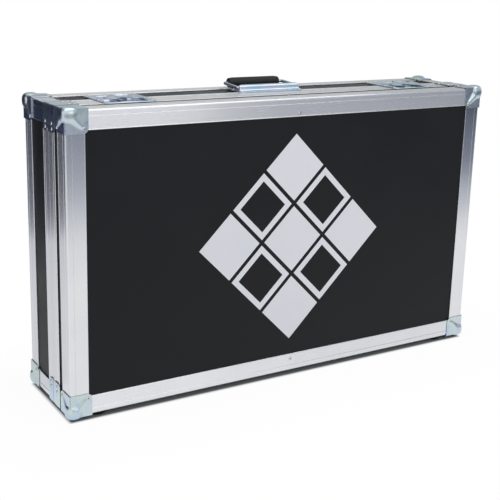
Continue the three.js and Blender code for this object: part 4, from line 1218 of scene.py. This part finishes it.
for half, (outer, inward) in halves.items():
    faceY, edgeY = outer - inward * angleRivets["sink"], outer + inward * angleRivets["fromFace"]
    for z in (case["top"] - angleRivets["frontTop"], case["bottom"] + angleRivets["frontBottom"]):
        addRivet(half, (angleRivets["x"], faceY, z), (0, -inward, 0))
    addRivet(half, (-angleRivets["x"], edgeY, case["top"]), up)
    addRivet(half, (-angleRivets["x"], edgeY, case["bottom"]), down)
rivetTree = fastenerTree("domedRivets", rivetSizes, rivetParts, nickelPlate)
screwTree = fastenerTree("crossheadScrews", screwSizes, screwParts, zincPlate)
for half in halves:
    addFasteners(f"{half}_rivets", rivetTree, rivetSizes, rivets[half], half)
    addFasteners(f"{half}_foot_screws", screwTree, screwSizes, screws[half], half)
print("rivets and screws are set")


# studio, in metres

studio = {"floor": "#e9e9ea", "paintedShadowUnderCase": "#868a8c", "paper": 12, "shadowStart": -0.003, "shadowEdge": 0.004,
          "shadowFade": 0.2, "nearShare": 0.95, "ambient": 0.5}
lamps = {
    "overheadSoftbox": {"size": (3.6, 1.4), "place": (0.0, -0.7, 2.4), "aim": (0, 0, 0.2),
                        "power": 21, "seen": True},
    "frontSoftbox": {"size": (2.4, 1.6), "place": (0.9, -2.8, 1.5), "aim": (0, 0, 0.2),
                     "power": 24, "seen": False},
    "sideSoftbox": {"size": (1.6, 1.6), "place": (-2.6, -0.4, 1.3), "aim": (0, 0, 0.2),
                    "power": 3, "seen": False},
    "stripSoftbox": {"size": (0.9, 0.7), "place": (0.8, -2.8, 0.8), "aim": (-0.3, 0, 0.45),
                     "power": 2.2, "seen": True},
}


def seenDirectly(tree):
    ray = addNode(tree, "ShaderNodeLightPath", {}).outputs
    either = addNode(tree, "ShaderNodeMath", {
        0: ray["Is Camera Ray"], 1: ray["Is Glossy Ray"]}, operation="MAXIMUM")
    return addNode(tree, "ShaderNodeMath", {0: either, 1: ray["Is Transmission Ray"]}, operation="MAXIMUM")


def addStage(name, points, faces, material, reflectedOnly=False):
    mesh = bpy.data.meshes.new(name)
    mesh.from_pydata(points, [], faces)
    mesh.materials.append(material)
    piece = bpy.data.objects.new(name, mesh)
    scene.collection.objects.link(piece)
    if reflectedOnly:
        piece.visible_camera = False
        piece.visible_diffuse = False
        piece.visible_transmission = False
        piece.visible_shadow = False


# The paper is white to the eye, and keeps the shadow under the case and close round it; under the case its
# colour is also darkened, a painted shadow.
def addPaper():
    material, tree, shader = newMaterial("paleSweep")
    start, edge, near = studio["shadowStart"], studio["shadowEdge"], studio["nearShare"]
    place = addNode(tree, "ShaderNodeTexCoord", {}).outputs["Object"]
    size = addNode(tree, "ShaderNodeVectorMath", {0: place}, operation="ABSOLUTE")
    past = addNode(tree, "ShaderNodeVectorMath", {
        0: size, 1: (case["right"] * mm + start, case["rear"] * mm + start, 1.0)}, operation="SUBTRACT")
    outside = addNode(tree, "ShaderNodeVectorMath", {0: past, 1: (0, 0, 0)}, operation="MAXIMUM")
    away = addNode(tree, "ShaderNodeVectorMath", {0: outside}, operation="LENGTH").outputs["Value"]
    # painted shadow: the paper's own colour goes dark under the case and just past its outline
    paintedShadowShare = addNode(tree, "ShaderNodeMapRange", {"Value": away, "From Max": edge - start})
    tint = addNode(tree, "ShaderNodeMix", {
        0: paintedShadowShare, 6: linear(studio["paintedShadowUnderCase"]), 7: linear(studio["floor"])}, data_type="RGBA")
    feed(tree, shader, {"Base Color": tint.outputs[2], "Roughness": 0.9, "Specular IOR Level": 0.1})
    close = addNode(tree, "ShaderNodeMapRange", {"Value": away, "From Max": edge - start, "To Max": near})
    far = addNode(tree, "ShaderNodeMapRange", {
        "Value": away, "From Min": edge, "From Max": studio["shadowFade"], "To Max": 1 - near})
    share = addNode(tree, "ShaderNodeMath", {0: close, 1: far}, operation="ADD")
    seenShare = addNode(tree, "ShaderNodeMath", {0: share, 1: seenDirectly(tree)}, operation="MULTIPLY")
    glow = addNode(tree, "ShaderNodeEmission", {"Color": (1, 1, 1, 1), "Strength": 1.0})
    mix = addNode(tree, "ShaderNodeMixShader", {0: seenShare, 1: shader, 2: glow})
    feed(tree, tree.nodes["Material Output"], {0: mix})
    reach = studio["paper"]
    points = [(-reach, -reach, 0), (reach, -reach, 0), (reach, reach, 0), (-reach, reach, 0)]
    addStage("floor", points, [(0, 1, 2, 3)], material)


def addRoom():
    world = bpy.data.worlds.new("studioRoom")
    scene.world = world
    world.use_nodes = True
    tree = world.node_tree
    level = addNode(tree, "ShaderNodeMapRange", {
        "Value": seenDirectly(tree), "To Min": studio["ambient"], "To Max": 1.0})
    feed(tree, tree.nodes["Background"], {"Color": (1, 1, 1, 1), "Strength": level})
    for name, lamp in lamps.items():
        data = bpy.data.lights.new(name, "AREA")
        data.shape = "RECTANGLE"
        data.size, data.size_y = lamp["size"]
        data.energy = lamp["power"]
        light = bpy.data.objects.new(name, data)
        light.visible_glossy = lamp["seen"]
        light.location = lamp["place"]
        ahead = Vector(lamp["aim"]) - Vector(lamp["place"])
        light.rotation_euler = ahead.to_track_quat("-Z", "Y").to_euler()
        scene.collection.objects.link(light)


# Past the paper lies a dim room. These flags darken what the metal mirrors from there, and the
# camera and the lamps' light pass them by. Each fall: axis, where it starts and ends in metres,
# and the level that it ends at. Powers per colour make the darker levels cooler.
coolShade = (1.09, 1.0, 0.83)
greenShade = (1.03, 0.97, 1.0)
justAbovePaper = 0.0004
flags = {
    "sidePaper": {"sheet": (-11, -0.3, 0.05, 11), "height": justAbovePaper, "shade": coolShade,
                  "falls": (("X", -0.3, -0.44, 0.84), ("Y", 0.4, 0.86, 0.86), ("Y", 0.87, 1.01, 0.06))},
    "frontPaper": {"sheet": (-11, 11, -11, -0.3), "height": justAbovePaper, "shade": coolShade,
                   "falls": (("X", 0.85, 1.4, 0.6), ("Y", -0.72, -1.75, 0.4))},
    "sideWall": {"radius": 3.4, "height": 3.3, "bend": (95, 160), "shade": coolShade,
                 "falls": (("Z", 3.2, 2.4, 0.04),)},
    "frontWall": {"radius": 3.4, "height": 0.6, "bend": (250, 390), "shade": coolShade,
                  "falls": (("Z", 0.55, 0.15, 0.2),)},
    "frontCard": {"radius": 1.9, "height": 2.4, "bend": (290, 345), "shade": coolShade,
                  "falls": (("X", 0.78, 1.02, 0.6),)},
    "backWall": {"radius": 3.3, "height": 3.5, "bend": (15, 90), "shade": greenShade,
                 "falls": (("Z", 3.6, 3.5, 0.66),)},
    "ceiling": {"sheet": (-9, 9, -1.8, 9), "height": 3.5, "shade": greenShade,
                "falls": (("Y", -1.8, -0.8, 0.7),)},
}


def flagMaterial(name, falls, shade):
    material, tree, shader = newMaterial(name)
    tree.nodes.remove(shader)
    place = addNode(tree, "ShaderNodeTexCoord", {}).outputs["Object"]
    split = addNode(tree, "ShaderNodeSeparateXYZ", {0: place}).outputs
    level = 1.0
    for axis, start, end, low in falls:
        fall = addNode(tree, "ShaderNodeMapRange", {
            "Value": split[axis], "From Min": start, "From Max": end, "To Min": 1.0, "To Max": low},
            interpolation_type="SMOOTHSTEP")
        level = addNode(tree, "ShaderNodeMath", {0: level, 1: fall}, operation="MULTIPLY")
    powers = [addNode(tree, "ShaderNodeMath", {0: level, 1: power}, operation="POWER") for power in shade]
    colour = addNode(tree, "ShaderNodeCombineColor", dict(enumerate(powers)))
    through = addNode(tree, "ShaderNodeBsdfTransparent", {"Color": colour})
    feed(tree, tree.nodes["Material Output"], {0: through})
    return material


def addFlags():
    for name, flag in flags.items():
        high = flag["height"]
        if "sheet" in flag:
            x0, x1, y0, y1 = flag["sheet"]
            points = [(x0, y0, high), (x1, y0, high), (x1, y1, high), (x0, y1, high)]
            faces = [(0, 1, 2, 3)]
        else:
            start, end = flag["bend"]
            radius = flag["radius"]
            bend = [math.radians(a) for a in range(start, end + 1, 5)]
            points, faces = grid(len(bend), 2, lambda i, j: (
                radius * math.cos(bend[i]), radius * math.sin(bend[i]), justAbovePaper + high * j))
        addStage(name, points, faces, flagMaterial(name, flag["falls"], flag["shade"]), True)


addPaper()
addRoom()
addFlags()
scene.view_settings.view_transform = "Standard"
print("studio is lit")
